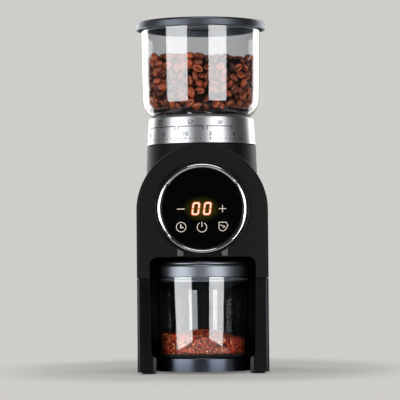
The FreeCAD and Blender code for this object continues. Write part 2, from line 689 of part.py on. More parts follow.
def upper_housing():
    inner = BODY_HALF - BODY_WALL
    shell = arch(BODY_HALF, SEAM_Z, FRONT_Y, HOUSING_REAR_Y - FRONT_Y)
    shell = round_end(shell, FRONT_Y, FRONT_ROUND, SEAM_Z)
    shell = shell.fuse(neck_cone(NECK_FOOT_RADIUS, NECK_TOP_RADIUS, ARCH_Z, NECK_TOP_Z))
    front, rear = FRONT_Y + BODY_WALL, REAR_Y
    shell = shell.cut(arch(inner, SEAM_Z - 1, front, rear - front))
    shell = shell.cut(post(NECK_BORE_RADIUS, ARCH_Z, NECK_TOP_Z + 1))
    ledge = post(NECK_BORE_RADIUS + NECK_WALL / 2, LEDGE_TOP_Z - LEDGE_THICKNESS, LEDGE_TOP_Z)
    ledge = ledge.cut(post(NECK_BORE_RADIUS - LEDGE_WIDTH, 0, NECK_TOP_Z))
    shell = shell.fuse(ledge)
    shell = shell.cut(rod(PANEL_BARREL_RADIUS + FIT, Vector(0, FRONT_Y - 1, PANEL_Z), BODY_WALL + 2, BACK))
    shell = shell.cut(prism(bay_outline(0), on_xz(FRONT_Y - 1), BACK * (BODY_WALL + 2)))
    rebate = BODY_HALF - BODY_WALL / 2
    for s in (-1, 1):
        side = (-rebate, -inner + 1) if s < 0 else (inner - 1, rebate)
        depth = (FRONT_Y + SEAM_LIP_INSET - FIT, REAR_Y)
        shell = shell.cut(block(side, depth, (SEAM_Z - 1, SEAM_Z + SEAM_LIP)))
    shell = shell.fuse([lying_boss(seat) for seat in rear_screw_places() if seat.z > SEAM_Z])
    for seat in rear_screw_places():
        shell = shell.cut(screw_hole(seat, -BACK, BOSS_LENGTH))
    for x, y in chamber_screw_spots():
        shell = shell.cut(screw_hole(Vector(x, y, LEDGE_TOP_Z), -UP))
    return shell.removeSplitter()


def rear_cover():
    inner = BODY_HALF - BODY_WALL
    tray = arch(BODY_HALF, BODY_FOOT_Z, JOINT_Y, REAR_Y - JOINT_Y)
    tray = round_end(tray, REAR_Y, REAR_ROUND, BODY_FOOT_Z)
    tray = tray.cut(arch(inner, BODY_FOOT_Z + BODY_WALL, JOINT_Y - 1, REAR_Y - BODY_WALL - JOINT_Y + 1))
    for i in range(VENT_COUNT):
        z = VENT_FOOT_Z + i * VENT_PITCH
        slot = rounded_box(VENT_WIDTH / 2, z, z + VENT_HEIGHT, VENT_HEIGHT * 0.45, VENT_HEIGHT * 0.45)
        tray = tray.cut(prism(slot, on_xz(REAR_Y - 2 * BODY_WALL), BACK * 3 * BODY_WALL))
    for seat in rear_screw_places():
        depth, half = seat.y - JOINT_Y + 1, BOSS_RIB / 2
        tray = tray.fuse(rod(BOSS_RADIUS, Vector(seat.x, JOINT_Y, seat.z), depth, BACK))
        tray = tray.fuse(wall_rib(seat.x, (JOINT_Y, seat.y), (seat.z - half, seat.z + half)))
    for seat in rear_screw_places():
        sunk = seat - BACK * SCREW_HEAD
        tray = tray.cut(screw_hole(sunk, -BACK, 2 * REAR_COVER_DEPTH)).cut(head_pocket(sunk, -BACK))
    gland = rod(GLAND_RADIUS + FIT, Vector(GLAND_X, JOINT_Y, GLAND_Z), 2 * REAR_COVER_DEPTH, BACK)
    return tray.cut(gland).removeSplitter()


def cord_gland():
    barrel = rod(GLAND_RADIUS, Vector(GLAND_X, REAR_Y - 2 * BODY_WALL, GLAND_Z), 2 * BODY_WALL, BACK)
    flange = rod(GLAND_RADIUS + GLAND_FLANGE_WIDTH, Vector(GLAND_X, REAR_Y, GLAND_Z), GLAND_FLANGE, BACK)
    bore = rod(GLAND_BORE_RADIUS, Vector(GLAND_X, JOINT_Y, GLAND_Z), 2 * REAR_COVER_DEPTH, BACK)
    return barrel.fuse(flange).cut(bore).removeSplitter()


# Control panel

BEZEL_RADIUS = PANEL_RADIUS - BEZEL_RIM
GLASS_RADIUS = BEZEL_RADIUS - BEZEL_WIDTH
BOARD_FRONT = PANEL_SEAT - BOARD_BEHIND_SEAT  # front of the display board, out of the front face


def control_carrier():
    barrel_bore = PANEL_BARREL_RADIUS - PANEL_BARREL_WALL
    recess = BEZEL_RADIUS + FIT
    profile = [(barrel_bore, PANEL_SEAT), (barrel_bore, -PANEL_BARREL_DEPTH),
               (PANEL_BARREL_RADIUS, -PANEL_BARREL_DEPTH), (PANEL_BARREL_RADIUS, 0), (PANEL_RADIUS, 0),
               (PANEL_RADIUS, PANEL_PROUD, 0.7), (recess, PANEL_PROUD), (recess, PANEL_SEAT)]
    flange = turned_panel(profile)
    proud = FRONT_Y - CHIN_PROUD
    corners = [(-CHIN_HALF - CHIN_CHAMFER, FRONT_Y), (-CHIN_HALF, proud), (CHIN_HALF, proud),
               (CHIN_HALF + CHIN_CHAMFER, FRONT_Y)]
    chin = prism(corners, on_xy(PANEL_Z - PANEL_RADIUS), UP * (PANEL_RADIUS / 2))
    before = Vector(0, FRONT_Y - 2 * PANEL_PROUD, PANEL_Z)
    hollow = rod(PANEL_RADIUS - BEZEL_RIM / 2, before, 4 * PANEL_PROUD, BACK)
    return flange.fuse(chin.cut(hollow)).removeSplitter()


def chrome_bezel():
    inner = GLASS_RADIUS + FIT
    top = PANEL_SEAT + BEZEL_HEIGHT
    crest = BEZEL_RADIUS - BEZEL_WIDTH * 0.42
    profile = [(inner, PANEL_SEAT), (BEZEL_RADIUS, PANEL_SEAT), (BEZEL_RADIUS, top - 1.2, 1.0),
               (crest, top, BEZEL_WIDTH * 0.35), (inner, PANEL_SEAT + GLASS_THICKNESS, 0.5)]
    return turned_panel(profile)


def touch_glass():
    face = PANEL_SEAT + GLASS_THICKNESS
    return turned_panel([(0, PANEL_SEAT), (GLASS_RADIUS, PANEL_SEAT), (GLASS_RADIUS, face, 0.4), (0, face)])


def display_board():
    radius = PANEL_BARREL_RADIUS - PANEL_BARREL_WALL - FIT
    return turned_panel([(0, BOARD_FRONT - BOARD_THICKNESS), (radius, BOARD_FRONT - BOARD_THICKNESS),
                         (radius, BOARD_FRONT), (0, BOARD_FRONT)])


def digit_display():
    wide, high = DIGITS_WIDTH / 2, DIGITS_HEIGHT / 2
    front, rear = FRONT_Y - PANEL_SEAT, FRONT_Y - BOARD_FRONT
    return block((-wide, wide), (front, rear), (PANEL_Z - high, PANEL_Z + high))


def touch_posts():
    places = [(s * TOUCH_SPACING, 0) for s in (-1, 1)]
    places += [(s * TOUCH_SPACING, -TOUCH_DROP) for s in (-1, 0, 1)]
    rear = FRONT_Y - BOARD_FRONT
    length = BOARD_BEHIND_SEAT
    feet = [Vector(x, rear, PANEL_Z + z) for x, z in places]
    return Part.Compound([rod(TOUCH_POST_RADIUS, foot, length, -BACK) for foot in feet])


# Adjuster ring, hopper and lid

def ring_radius(z):
    """Outside radius of the adjuster sleeve at height z."""
    share = (z - RING_Z) / RING_HEIGHT
    return RING_FOOT_RADIUS + (RING_TOP_RADIUS - RING_FOOT_RADIUS) * share


def adjuster_sleeve():
    return turned([(RING_FOOT_RADIUS - RING_SHEET, RING_Z), (RING_FOOT_RADIUS, RING_Z, 0.4),
                   (RING_TOP_RADIUS, RING_TOP_Z, 0.5), (RING_TOP_RADIUS - RING_SHEET, RING_TOP_Z)])


def lug_bar(radius, foot, top, play):
    """Radial bar that carries the turning between the adjuster core, the hopper and the burr carrier."""
    wide = LUG_WIDTH / 2 + play
    return block((-wide, wide), (-radius - play, -SPIGOT_RADIUS + HOPPER_WALL), (foot, top))


def adjuster_core():
    foot = RING_Z + CORE_RECESS
    gap = RING_SHEET + SEATED
    skirt = CHAMBER_RADIUS + SLIDE
    skirt_foot = LEDGE_TOP_Z + CHAMBER_FLANGE + SLIDE
    profile = [(CORE_INNER_RADIUS, CORE_TOP_Z), (CORE_INNER_RADIUS, foot + 2), (skirt, foot + 2),
               (skirt, skirt_foot), (skirt + CORE_SKIRT, skirt_foot), (skirt + CORE_SKIRT, foot),
               (ring_radius(foot) - gap, foot), (ring_radius(CORE_TOP_Z) - gap, CORE_TOP_Z)]
    core = turned(profile)
    return core.cut(ring_of(LUG_COUNT, lug_bar(LUG_RADIUS, foot + 2, RING_TOP_Z + 1, SLIDE)))


def hopper_gasket():
    inner = HOPPER_FOOT_RADIUS - GASKET_WIDTH
    top = CORE_TOP_Z + GASKET_HEIGHT
    return turned([(inner, CORE_TOP_Z), (HOPPER_FOOT_RADIUS, CORE_TOP_Z), (HOPPER_FOOT_RADIUS, top, 0.8),
                   (inner, top)]).cut(ring_of(LUG_COUNT, lug_bar(LUG_RADIUS, CORE_TOP_Z - 1, top + 1, SLIDE)))


def hopper():
    shoulder = HOPPER_Z + HOPPER_SHOULDER
    bore = SPIGOT_RADIUS - HOPPER_WALL
    floor = HOPPER_Z + HOPPER_WALL
    foot_step = HOPPER_FOOT_RADIUS - HOPPER_WALL * 0.3
    profile = [(bore, HOPPER_Z), (HOPPER_FOOT_RADIUS, HOPPER_Z, 2.0),
               (HOPPER_WAIST_RADIUS, shoulder, HOPPER_ROUND), (HOPPER_TOP_RADIUS, HOPPER_RIM_Z, 0.8),
               (HOPPER_MOUTH_RADIUS, HOPPER_RIM_Z, 0.8),
               (HOPPER_WAIST_RADIUS - HOPPER_WALL, shoulder + HOPPER_WALL / 2, HOPPER_INNER_ROUND),
               (foot_step, floor + 1.5, 4.0), (bore, floor, 1.5)]
    return turned(profile)


def hopper_collar():
    top = HOPPER_Z - SEATED
    tube = post(SPIGOT_RADIUS, SPIGOT_Z, top).cut(post(SPIGOT_RADIUS - HOPPER_WALL, SPIGOT_Z - 1, top + 1))
    lugs = lug_bar(LUG_RADIUS - SLIDE, SPIGOT_Z, HOPPER_Z - SLIDE, -SLIDE)
    cutter = post(SPIGOT_RADIUS - HOPPER_WALL / 2, SPIGOT_Z - 1, HOPPER_Z + 1)
    return tube.fuse([lug.cut(cutter) for lug in ring_of(LUG_COUNT, lugs)]).removeSplitter()


def lid_rim():
    inner = LID_RADIUS - LID_RIM_WIDTH
    foot = LID_TOP_Z - LID_RIM_HEIGHT
    skirt = LID_RADIUS - LID_RIM_WALL
    plug = HOPPER_MOUTH_RADIUS - SLIDE - SEAL_THICKNESS
    plug_foot = LID_PLATE_Z - LID_PLUG
    plug_bore = plug - LID_RIM_WALL
    seat = LID_TOP_Z - LID_PANEL_RECESS - LID_PANEL_THICKNESS
    profile = [(skirt, foot), (LID_RADIUS, foot, 0.4), (LID_RADIUS, LID_TOP_Z, LID_TOP_ROUND),
               (inner, LID_TOP_Z, 0.4), (inner, seat), (plug_bore, seat), (plug_bore, plug_foot),
               (plug, plug_foot), (plug, LID_PLATE_Z), (skirt, LID_PLATE_Z)]
    return turned(profile)


def lid_panel():
    radius = LID_RADIUS - LID_RIM_WIDTH - FIT
    top = LID_TOP_Z - LID_PANEL_RECESS
    foot = top - LID_PANEL_THICKNESS
    dish = top - LID_DISH_DEPTH
    return turned([(0, foot), (radius, foot), (radius, top, 0.3), (LID_DISH_RADIUS, top, 2.0),
                   (LID_DISH_RADIUS - 4 * LID_DISH_DEPTH, dish, 2.0), (0, dish)])


def lid_seal():
    inner = HOPPER_MOUTH_RADIUS - SLIDE - SEAL_THICKNESS + SEATED
    foot = LID_PLATE_Z - LID_PLUG
    return turned([(inner, foot), (inner + SEAL_THICKNESS - SEATED, foot, 0.5),
                   (inner + SEAL_THICKNESS - SEATED, foot + SEAL_HEIGHT, 0.5), (inner, foot + SEAL_HEIGHT)])


# Burrs, carrier and grind chamber

def cone_radius(z):
    """Radius of the cone burr's blade tips at height z."""
    return CONE_FOOT_RADIUS + (CONE_TOP_RADIUS - CONE_FOOT_RADIUS) * (z - CONE_Z) / CONE_HEIGHT


def cone_burr():
    foot = star(CONE_BLADES, CONE_FOOT_RADIUS, CONE_FOOT_RADIUS - CONE_FLUTE, CONE_Z, 0)
    top = star(CONE_BLADES, CONE_TOP_RADIUS, CONE_TOP_RADIUS - CONE_FLUTE / 2, CONE_TOP_Z, CONE_TWIST_DEG)
    cone = Part.makeLoft([foot, top], True, True)
    return cone.cut(post(SHAFT_RADIUS + SEATED, CONE_Z - 1, CONE_TOP_Z + 1))


def ring_burr():
    foot, top = CARRIER_FOOT_Z, CARRIER_FOOT_Z + RING_BURR_HEIGHT
    body = post(RING_BURR_RADIUS, foot, top)
    foot_tip = cone_radius(foot) + BURR_GAP
    top_tip = cone_radius(top) + BURR_GAP + RING_BURR_THROAT
    ends = ((foot_tip, foot), (top_tip, top))
    wires = [star(RING_BURR_TEETH, r + RING_BURR_FLUTE, r, z, 0) for r, z in ends]
    return body.cut(Part.makeLoft(wires, True, True))


def burr_carrier():
    seat = RING_BURR_RADIUS + SEATED
    burr_top = CARRIER_FOOT_Z + RING_BURR_HEIGHT
    mouth = cone_radius(burr_top) + BURR_GAP + RING_BURR_THROAT + RING_BURR_FLUTE
    profile = [(seat, CARRIER_FOOT_Z), (CARRIER_RADIUS, CARRIER_FOOT_Z), (CARRIER_RADIUS, CARRIER_TOP_Z),
               (CARRIER_RADIUS - CARRIER_WALL, CARRIER_TOP_Z), (mouth, burr_top + CARRIER_WALL),
               (mouth, burr_top), (seat, burr_top)]
    carrier = turned(profile)
    foot = CARRIER_TOP_Z - LUG_HEIGHT
    lug = block((-LUG_WIDTH / 2, LUG_WIDTH / 2), (-LUG_RADIUS, -CARRIER_RADIUS + 1), (foot, CARRIER_TOP_Z))
    return carrier.fuse(ring_of(LUG_COUNT, lug)).removeSplitter()


def chute_opening():
    """Window in the chamber's wall where the grounds leave."""
    half = CHUTE_WIDTH / 2 - CHUTE_WALL
    top = CHAMBER_FLOOR_Z + CHUTE_MOUTH_HEIGHT
    return block((-half, half), (-2 * CHAMBER_RADIUS, 0), (CHAMBER_FLOOR_Z, top))


def chamber_screw_spots():
    """(x, y) of the grind chamber's flange screws."""
    radius = NECK_BORE_RADIUS - SCREW_HEAD_RADIUS - 2 * SLIDE
    spots = []
    for angle in (90, 210, 330):
        spots.append((radius * math.cos(math.radians(angle)), radius * math.sin(math.radians(angle))))
    return spots


def grind_chamber():
    foot = CHAMBER_FLOOR_Z - CHAMBER_FLOOR
    flange = NECK_BORE_RADIUS - FIT
    bush = SHAFT_RADIUS + RUNNING + BUSH_WALL + SEATED
    profile = [(bush, CHAMBER_FOOT_Z), (CHAMBER_COLUMN_RADIUS, CHAMBER_FOOT_Z), (CHAMBER_COLUMN_RADIUS, foot),
               (CHAMBER_RADIUS, foot), (CHAMBER_RADIUS, LEDGE_TOP_Z), (flange, LEDGE_TOP_Z),
               (flange, LEDGE_TOP_Z + CHAMBER_FLANGE), (CHAMBER_RADIUS, LEDGE_TOP_Z + CHAMBER_FLANGE),
               (CHAMBER_RADIUS, CHAMBER_RIM_Z), (CHAMBER_BORE_RADIUS, CHAMBER_RIM_Z),
               (CHAMBER_BORE_RADIUS, CHAMBER_FLOOR_Z), (bush, CHAMBER_FLOOR_Z)]
    chamber = turned(profile).cut(chute_opening())
    for x, y in chamber_screw_spots():
        chamber = chamber.cut(screw_hole(Vector(x, y, LEDGE_TOP_Z), -UP))
    return chamber


def impeller():
    disc = post(IMPELLER_RADIUS, IMPELLER_Z, IMPELLER_Z + IMPELLER_DISC)
    hub = post(IMPELLER_HUB_RADIUS, IMPELLER_Z, CONE_Z - SEATED)
    wide = IMPELLER_PADDLE_WIDTH / 2
    paddle = block((IMPELLER_HUB_RADIUS - 1, IMPELLER_RADIUS - 1), (-wide, wide),
                   (IMPELLER_Z, IMPELLER_Z + IMPELLER_DISC + IMPELLER_PADDLE_HEIGHT))
    whole = disc.fuse([hub] + ring_of(IMPELLER_PADDLES, paddle))
    return whole.cut(post(SHAFT_RADIUS + SEATED, 0, CONE_TOP_Z)).removeSplitter()


def burr_nut():
    corners = []
    for i in range(6):
        angle = math.radians(60 * i)
        corners.append((NUT_RADIUS * math.cos(angle), NUT_RADIUS * math.sin(angle)))
    nut = prism(corners, on_xy(CONE_TOP_Z + SEATED), UP * NUT_HEIGHT)
    return nut.cut(post(SHAFT_RADIUS + SEATED, CONE_TOP_Z, CONE_TOP_Z + 2 * NUT_HEIGHT))


def grounds_chute():
    top = CHAMBER_FLOOR_Z + CHUTE_MOUTH_HEIGHT + CHUTE_WALL
    knee = CHAMBER_FLOOR_Z - CHAMBER_FLOOR
    rear = -CHAMBER_RADIUS - FIT
    front = rear - CHUTE_DEPTH

    def run(shrink, extra):
        """Duct from the chamber's window down to the bay roof, shrunk for its inside."""
        half, end = CHUTE_WIDTH / 2 - shrink, CHUTE_OUTLET / 2 - shrink
        near, far = front + shrink, rear - shrink
        upper = [(-half, near), (half, near), (half, far), (-half, far)]
        lower = [(-end, CUP_Y - end), (end, CUP_Y - end), (end, CUP_Y + end), (-end, CUP_Y + end)]
        box = prism(upper, on_xy(knee), UP * (top - shrink - knee))
        funnel = Part.makeLoft([outline(lower, on_xy(BAY_ROOF_Z)), outline(upper, on_xy(knee))], True, True)
        spout = prism(lower, on_xy(BAY_TOP_Z - extra), UP * (BAY_ROOF_Z - BAY_TOP_Z + extra))
        return box.fuse([funnel, spout])

    duct = run(0, 0).cut(run(CHUTE_WALL, 1))
    return duct.cut(chute_opening()).removeSplitter()


# Drive line

def bush(foot):
    inner, outer = SHAFT_RADIUS + RUNNING, SHAFT_RADIUS + RUNNING + BUSH_WALL
    return post(outer, foot, foot + BUSH_LENGTH).cut(post(inner, foot - 1, foot + BUSH_LENGTH + 1))


def shaft_bushes():
    return Part.Compound([bush(CHAMBER_FOOT_Z), bush(CHAMBER_FLOOR_Z - BUSH_LENGTH)])


def drive_shaft():
    return post(SHAFT_RADIUS, GEAR_FLOOR_Z + SLIDE, CONE_TOP_Z + NUT_HEIGHT)


def output_gear():
    mesh_deg = math.degrees(math.atan2(IDLER_Y, IDLER_X))
    wheel = gear(OUTPUT_TEETH, SLOW_MODULE, OUTPUT_Z, OUTPUT_FACE, 0, 0, mesh_deg)
    return wheel.cut(post(SHAFT_RADIUS + SEATED, 0, GEAR_COVER_Z))


def idler_gear():
    to_output = math.degrees(math.atan2(-IDLER_Y, -IDLER_X))
    to_motor = math.degrees(math.atan2(MOTOR_Y - IDLER_Y, -IDLER_X))
    pinion = gear(IDLER_PINION_TEETH, SLOW_MODULE, OUTPUT_Z, WHEEL_Z - OUTPUT_Z, IDLER_X, IDLER_Y,
                  to_output + 180.0 / IDLER_PINION_TEETH)
    wheel = gear(IDLER_WHEEL_TEETH, FAST_MODULE, WHEEL_Z, WHEEL_FACE, IDLER_X, IDLER_Y, to_motor)
    bore = post(IDLER_PIN_RADIUS + RUNNING, GEAR_CASE_Z, GEAR_COVER_Z + 1, IDLER_X, IDLER_Y)
    return pinion.fuse(wheel).cut(bore)


def idler_pin():
    return post(IDLER_PIN_RADIUS, GEAR_CASE_Z, CHAMBER_FOOT_Z, IDLER_X, IDLER_Y)


def motor_pinion():
    to_idler = math.degrees(math.atan2(IDLER_Y - MOTOR_Y, IDLER_X))
    pinion = gear(MOTOR_PINION_TEETH, FAST_MODULE, WHEEL_Z, WHEEL_FACE, 0, MOTOR_Y,
                  to_idler + 180.0 / MOTOR_PINION_TEETH)
    return pinion.cut(post(MOTOR_SHAFT_RADIUS + SEATED, 0, CHAMBER_FOOT_Z, y=MOTOR_Y))


def motor_shaft():
    return post(MOTOR_SHAFT_RADIUS, MOTOR_FOOT_Z + MOTOR_CAP / 2, WHEEL_Z + WHEEL_FACE, y=MOTOR_Y)


def motor_bolt_spots():
    return [(s * MOTOR_BOLT_CIRCLE, MOTOR_Y) for s in (-1, 1)]


def motor_can():
    inner = MOTOR_RADIUS - MOTOR_SHELL
    foot = MOTOR_FOOT_Z + MOTOR_CAP
    can = post(MOTOR_RADIUS, foot, MOTOR_TOP_Z, y=MOTOR_Y)
    can = can.cut(post(inner, foot - 1, MOTOR_TOP_Z - MOTOR_SHELL, y=MOTOR_Y))
    can = can.cut(post(MOTOR_SHAFT_RADIUS + RUNNING, foot, MOTOR_TOP_Z + 1, y=MOTOR_Y))
    for x, y in motor_bolt_spots():
        can = can.cut(post(SCREW_RADIUS + SCREW_PLAY, foot, MOTOR_TOP_Z + 1, x, y))
    return can


def motor_end_cap():
    rim = MOTOR_FOOT_Z + MOTOR_CAP
    bore = MOTOR_SHAFT_RADIUS + RUNNING
    profile = [(bore, MOTOR_FOOT_Z), (MOTOR_RADIUS, MOTOR_FOOT_Z, 1.5), (MOTOR_RADIUS, rim), (bore, rim)]
    return turned(profile, MOTOR_Y)


def motor_magnets():
    outer = MOTOR_RADIUS - MOTOR_SHELL - SEATED
    foot = MOTOR_FOOT_Z + MOTOR_CAP + MAGNET_END_ROOM
    top = MOTOR_TOP_Z - MOTOR_SHELL - MAGNET_END_ROOM
    inner = outer - MAGNET_THICKNESS
    face = Part.Face(outline([(inner, foot), (outer, foot), (outer, top), (inner, top)], on_xz(0.0)))
    magnet = face.revolve(Vector(0, 0, 0), UP, MAGNET_SPAN_DEG)
    magnet.translate(Vector(0, MOTOR_Y, 0))
    return Part.Compound(ring_of(2, magnet, MOTOR_Y))


def motor_armature():
    radius = MOTOR_RADIUS - MOTOR_SHELL - SEATED - MAGNET_THICKNESS - AIR_GAP
    foot = MOTOR_FOOT_Z + MOTOR_CAP + MAGNET_END_ROOM + COMMUTATOR_LENGTH
    top = MOTOR_TOP_Z - MOTOR_SHELL - MAGNET_END_ROOM
    core = post(radius, foot, top, y=MOTOR_Y)
    wide = ARMATURE_SLOT_WIDTH / 2
    slot = block((radius - ARMATURE_SLOT_DEPTH, radius + 1), (MOTOR_Y - wide, MOTOR_Y + wide),
                 (foot - 1, top + 1))
    core = core.cut(ring_of(ARMATURE_SLOTS, slot, MOTOR_Y))
    core = core.fuse(post(COMMUTATOR_RADIUS, foot - COMMUTATOR_LENGTH, foot, y=MOTOR_Y))
    return core.cut(post(MOTOR_SHAFT_RADIUS + SEATED, foot - 2 * COMMUTATOR_LENGTH, top + 1, y=MOTOR_Y))


def case_corners(inset):
    left, right, front, rear = gear_case_box()
    corner = GEAR_CASE_CORNER - inset
    return [(left + inset, front + inset, corner), (right - inset, front + inset, corner),
            (right - inset, rear - inset, corner), (left + inset, rear - inset, corner)]


def case_screw_spots():
    """(x, y) of the screws at the gear case's corners."""
    left, right, front, rear = gear_case_box()
    inset = GEAR_CASE_WALL + SCREW_HEAD_RADIUS
    return [(x, y) for x in (left + inset, right - inset) for y in (front + inset, rear - inset)]


def gear_case():
    outside = prism(case_corners(0), on_xy(GEAR_CASE_Z), UP * (GEAR_COVER_Z - GEAR_CASE_Z))
    depth = GEAR_COVER_Z - GEAR_FLOOR_Z
    case = outside.cut(prism(case_corners(GEAR_CASE_WALL), on_xy(GEAR_FLOOR_Z), UP * (depth + 1)))
    bosses = [post(SCREW_HEAD_RADIUS + 1, GEAR_CASE_Z, GEAR_COVER_Z, x, y) for x, y in case_screw_spots()]
    case = case.fuse(bosses).common(outside)
    case = case.cut(post(IDLER_PIN_RADIUS + SEATED, 0, GEAR_FLOOR_Z + 1, IDLER_X, IDLER_Y))
    case = case.cut(post(2 * MOTOR_SHAFT_RADIUS, 0, GEAR_FLOOR_Z + 1, y=MOTOR_Y))
    for x, y in motor_bolt_spots():
        case = case.cut(post(SCREW_RADIUS + SCREW_PLAY, 0, GEAR_FLOOR_Z + 1, x, y))
    for x, y in case_screw_spots():
        case = case.cut(screw_hole(Vector(x, y, CHAMBER_FOOT_Z), -UP))
    return case.removeSplitter()


def gear_case_cover():
    plate = prism(case_corners(0), on_xy(GEAR_COVER_Z), UP * GEAR_CASE_COVER)
    plate = plate.cut(post(SHAFT_RADIUS + SLIDE, 0, CHAMBER_FOOT_Z + 1))
    plate = plate.cut(post(IDLER_PIN_RADIUS + SEATED, 0, CHAMBER_FOOT_Z + 1, IDLER_X, IDLER_Y))
    for x, y in case_screw_spots():
        plate = plate.cut(screw_hole(Vector(x, y, CHAMBER_FOOT_Z), -UP))
    return plate


def vibration_mounts():
    return Part.Compound([post(MOUNT_RADIUS, BAY_ROOF_Z, GEAR_CASE_Z, x, y) for x, y in mount_places()])


# Boards

def power_board_x():
    """Front face of the power board, away from the housing's wall."""
    return -BODY_HALF + BODY_WALL + POWER_BOARD_POST + BOARD_THICKNESS


def power_board():
    x = power_board_x()
    y = MOTOR_Y - POWER_BOARD_LENGTH / 2
    board = block((x - BOARD_THICKNESS, x), (y, y + POWER_BOARD_LENGTH),
                  (POWER_BOARD_FOOT_Z, POWER_BOARD_FOOT_Z + POWER_BOARD_HEIGHT))
    for y, z in board_post_places():
        board = board.cut(screw_hole(Vector(x, y, z), -RIGHT))
    return board


def power_components():
    """Parts on the power board, each placed by shares of the board's length and height."""
    x, y, z = power_board_x(), MOTOR_Y - POWER_BOARD_LENGTH / 2, POWER_BOARD_FOOT_Z

    def part(along, up, height):
        """Box that stands on the board between two shares of its length and of its height."""
        ys = [y + share * POWER_BOARD_LENGTH for share in along]
        zs = [z + share * POWER_BOARD_HEIGHT for share in up]
        return block((x, x + height), ys, zs)

    centre = Vector(x, y + 0.4 * POWER_BOARD_LENGTH, z + 0.61 * POWER_BOARD_HEIGHT)
    return Part.Compound([
        part((0.2, 0.57), (0.13, 0.48), TRANSFORMER_HEIGHT),
        part((0.63, 0.83), (0.16, 0.47), RELAY_HEIGHT),
        part((0.23, 0.77), (0.73, 0.86), TERMINAL_HEIGHT),
        part((0.63, 0.83), (0.52, 0.66), HEAT_SINK_HEIGHT),
        rod(CAPACITOR_RADIUS, centre, CAPACITOR_HEIGHT, RIGHT),
    ])


# Screws

def rear_cover_screws():
    return Part.Compound([screw(p - BACK * SCREW_HEAD, -BACK, BOSS_LENGTH) for p in rear_screw_places()])


def base_screws():
    return Part.Compound([screw(p, UP) for p in base_screw_places()])


def chamber_screws():
    seat = LEDGE_TOP_Z + CHAMBER_FLANGE
    length = CHAMBER_FLANGE + LEDGE_THICKNESS
    return Part.Compound([screw(Vector(x, y, seat), -UP, length) for x, y in chamber_screw_spots()])


def gear_case_screws():
    return Part.Compound([screw(Vector(x, y, CHAMBER_FOOT_Z), -UP) for x, y in case_screw_spots()])


def motor_screws():
    length = GEAR_CASE_FLOOR + MOTOR_SHELL
    return Part.Compound([screw(Vector(x, y, GEAR_FLOOR_Z), -UP, length) for x, y in motor_bolt_spots()])


def board_screws():
    x = power_board_x()
    return Part.Compound([screw(Vector(x, y, z), -RIGHT, POWER_BOARD_POST) for y, z in board_post_places()])


# Cup

def cup_radius(z):
    """Outside radius of the cup at height z."""
    return CUP_FOOT_RADIUS + (CUP_TOP_RADIUS - CUP_FOOT_RADIUS) * (z - CUP_Z) / CUP_HEIGHT


def grounds_cup():
    floor = CUP_Z + CUP_FLOOR
    ledge = CUP_Z + CUP_BOOT + SEATED
    under = CUP_Z + CUP_BOOT_FLOOR + SEATED
    inset = CUP_BOOT_WALL + SEATED
    profile = [(0, under), (cup_radius(under) - inset, under, 0.6), (cup_radius(ledge) - inset, ledge),
               (cup_radius(ledge), ledge), (CUP_TOP_RADIUS, CUP_TOP_Z, 0.6),
               (CUP_TOP_RADIUS - CUP_WALL, CUP_TOP_Z, 0.6),
               (cup_radius(floor) - CUP_WALL, floor, CUP_FLOOR_ROUND), (0, floor)]
    return turned(profile, CUP_Y)


def cup_foot():
    """Boot of black rubber that the clear cup stands in."""
    top = CUP_Z + CUP_BOOT
    under = CUP_Z + CUP_BOOT_FLOOR
    profile = [(0, CUP_Z), (CUP_FOOT_RADIUS, CUP_Z, 0.8), (cup_radius(top), top),
               (cup_radius(top) - CUP_BOOT_WALL, top), (cup_radius(under) - CUP_BOOT_WALL, under, 0.5),
               (0, under)]
    return turned(profile, CUP_Y)


def cup_plug_radius():
    """Outside radius of the lid's plug, inside the cup's mouth."""
    return cup_radius(CUP_TOP_Z - CUP_LID_PLUG) - CUP_WALL - 2 * CUP_SEAL_RADIUS - FIT


def cup_lid():
    shoulder = CUP_LID_Z + CUP_LID_BAND
    plug = cup_plug_radius()
    bore = plug - CUP_LID_WALL
    foot = CUP_TOP_Z - CUP_LID_PLUG
    hole, crest = CUP_LID_HOLE_RADIUS, CUP_LID_TOP_Z
    dome = CUP_LID_RADIUS - CUP_LID_STEP
    profile = [(plug, CUP_LID_Z), (CUP_LID_RADIUS, CUP_LID_Z), (CUP_LID_RADIUS, shoulder, CUP_LID_ROUND),
               (dome, shoulder, 0.2), (dome, crest, CUP_LID_DOME * 0.85), (hole, crest, 0.5),
               (hole, crest - CUP_LID_WALL), (bore, crest - CUP_LID_WALL, CUP_LID_ROUND),
               (bore, foot), (plug, foot)]
    return turned(profile, CUP_Y)


def cup_lid_seal():
    radius = cup_plug_radius() + CUP_SEAL_RADIUS + SEATED
    z = CUP_TOP_Z - CUP_LID_PLUG / 2
    ring = Part.makeTorus(radius, CUP_SEAL_RADIUS)
    ring.translate(Vector(0, CUP_Y, z))
    return ring


NODES = [
    rubber_feet, base_plate, cup_stand, cup_bay, lower_housing, upper_housing, rear_cover, cord_gland,
    control_carrier, chrome_bezel, touch_glass, display_board, digit_display, touch_posts,
    adjuster_sleeve, adjuster_core, hopper_gasket, hopper, hopper_collar, lid_rim, lid_panel, lid_seal,
    cone_burr, ring_burr, burr_carrier, grind_chamber, impeller, burr_nut, grounds_chute,
    shaft_bushes, drive_shaft, output_gear, idler_gear, idler_pin, motor_pinion, motor_shaft, motor_can,
    motor_end_cap, motor_magnets, motor_armature, gear_case, gear_case_cover, vibration_mounts,
    power_board, power_components, rear_cover_screws, base_screws, chamber_screws, gear_case_screws,
    motor_screws, board_screws, grounds_cup, cup_foot, cup_lid, cup_lid_seal,
]

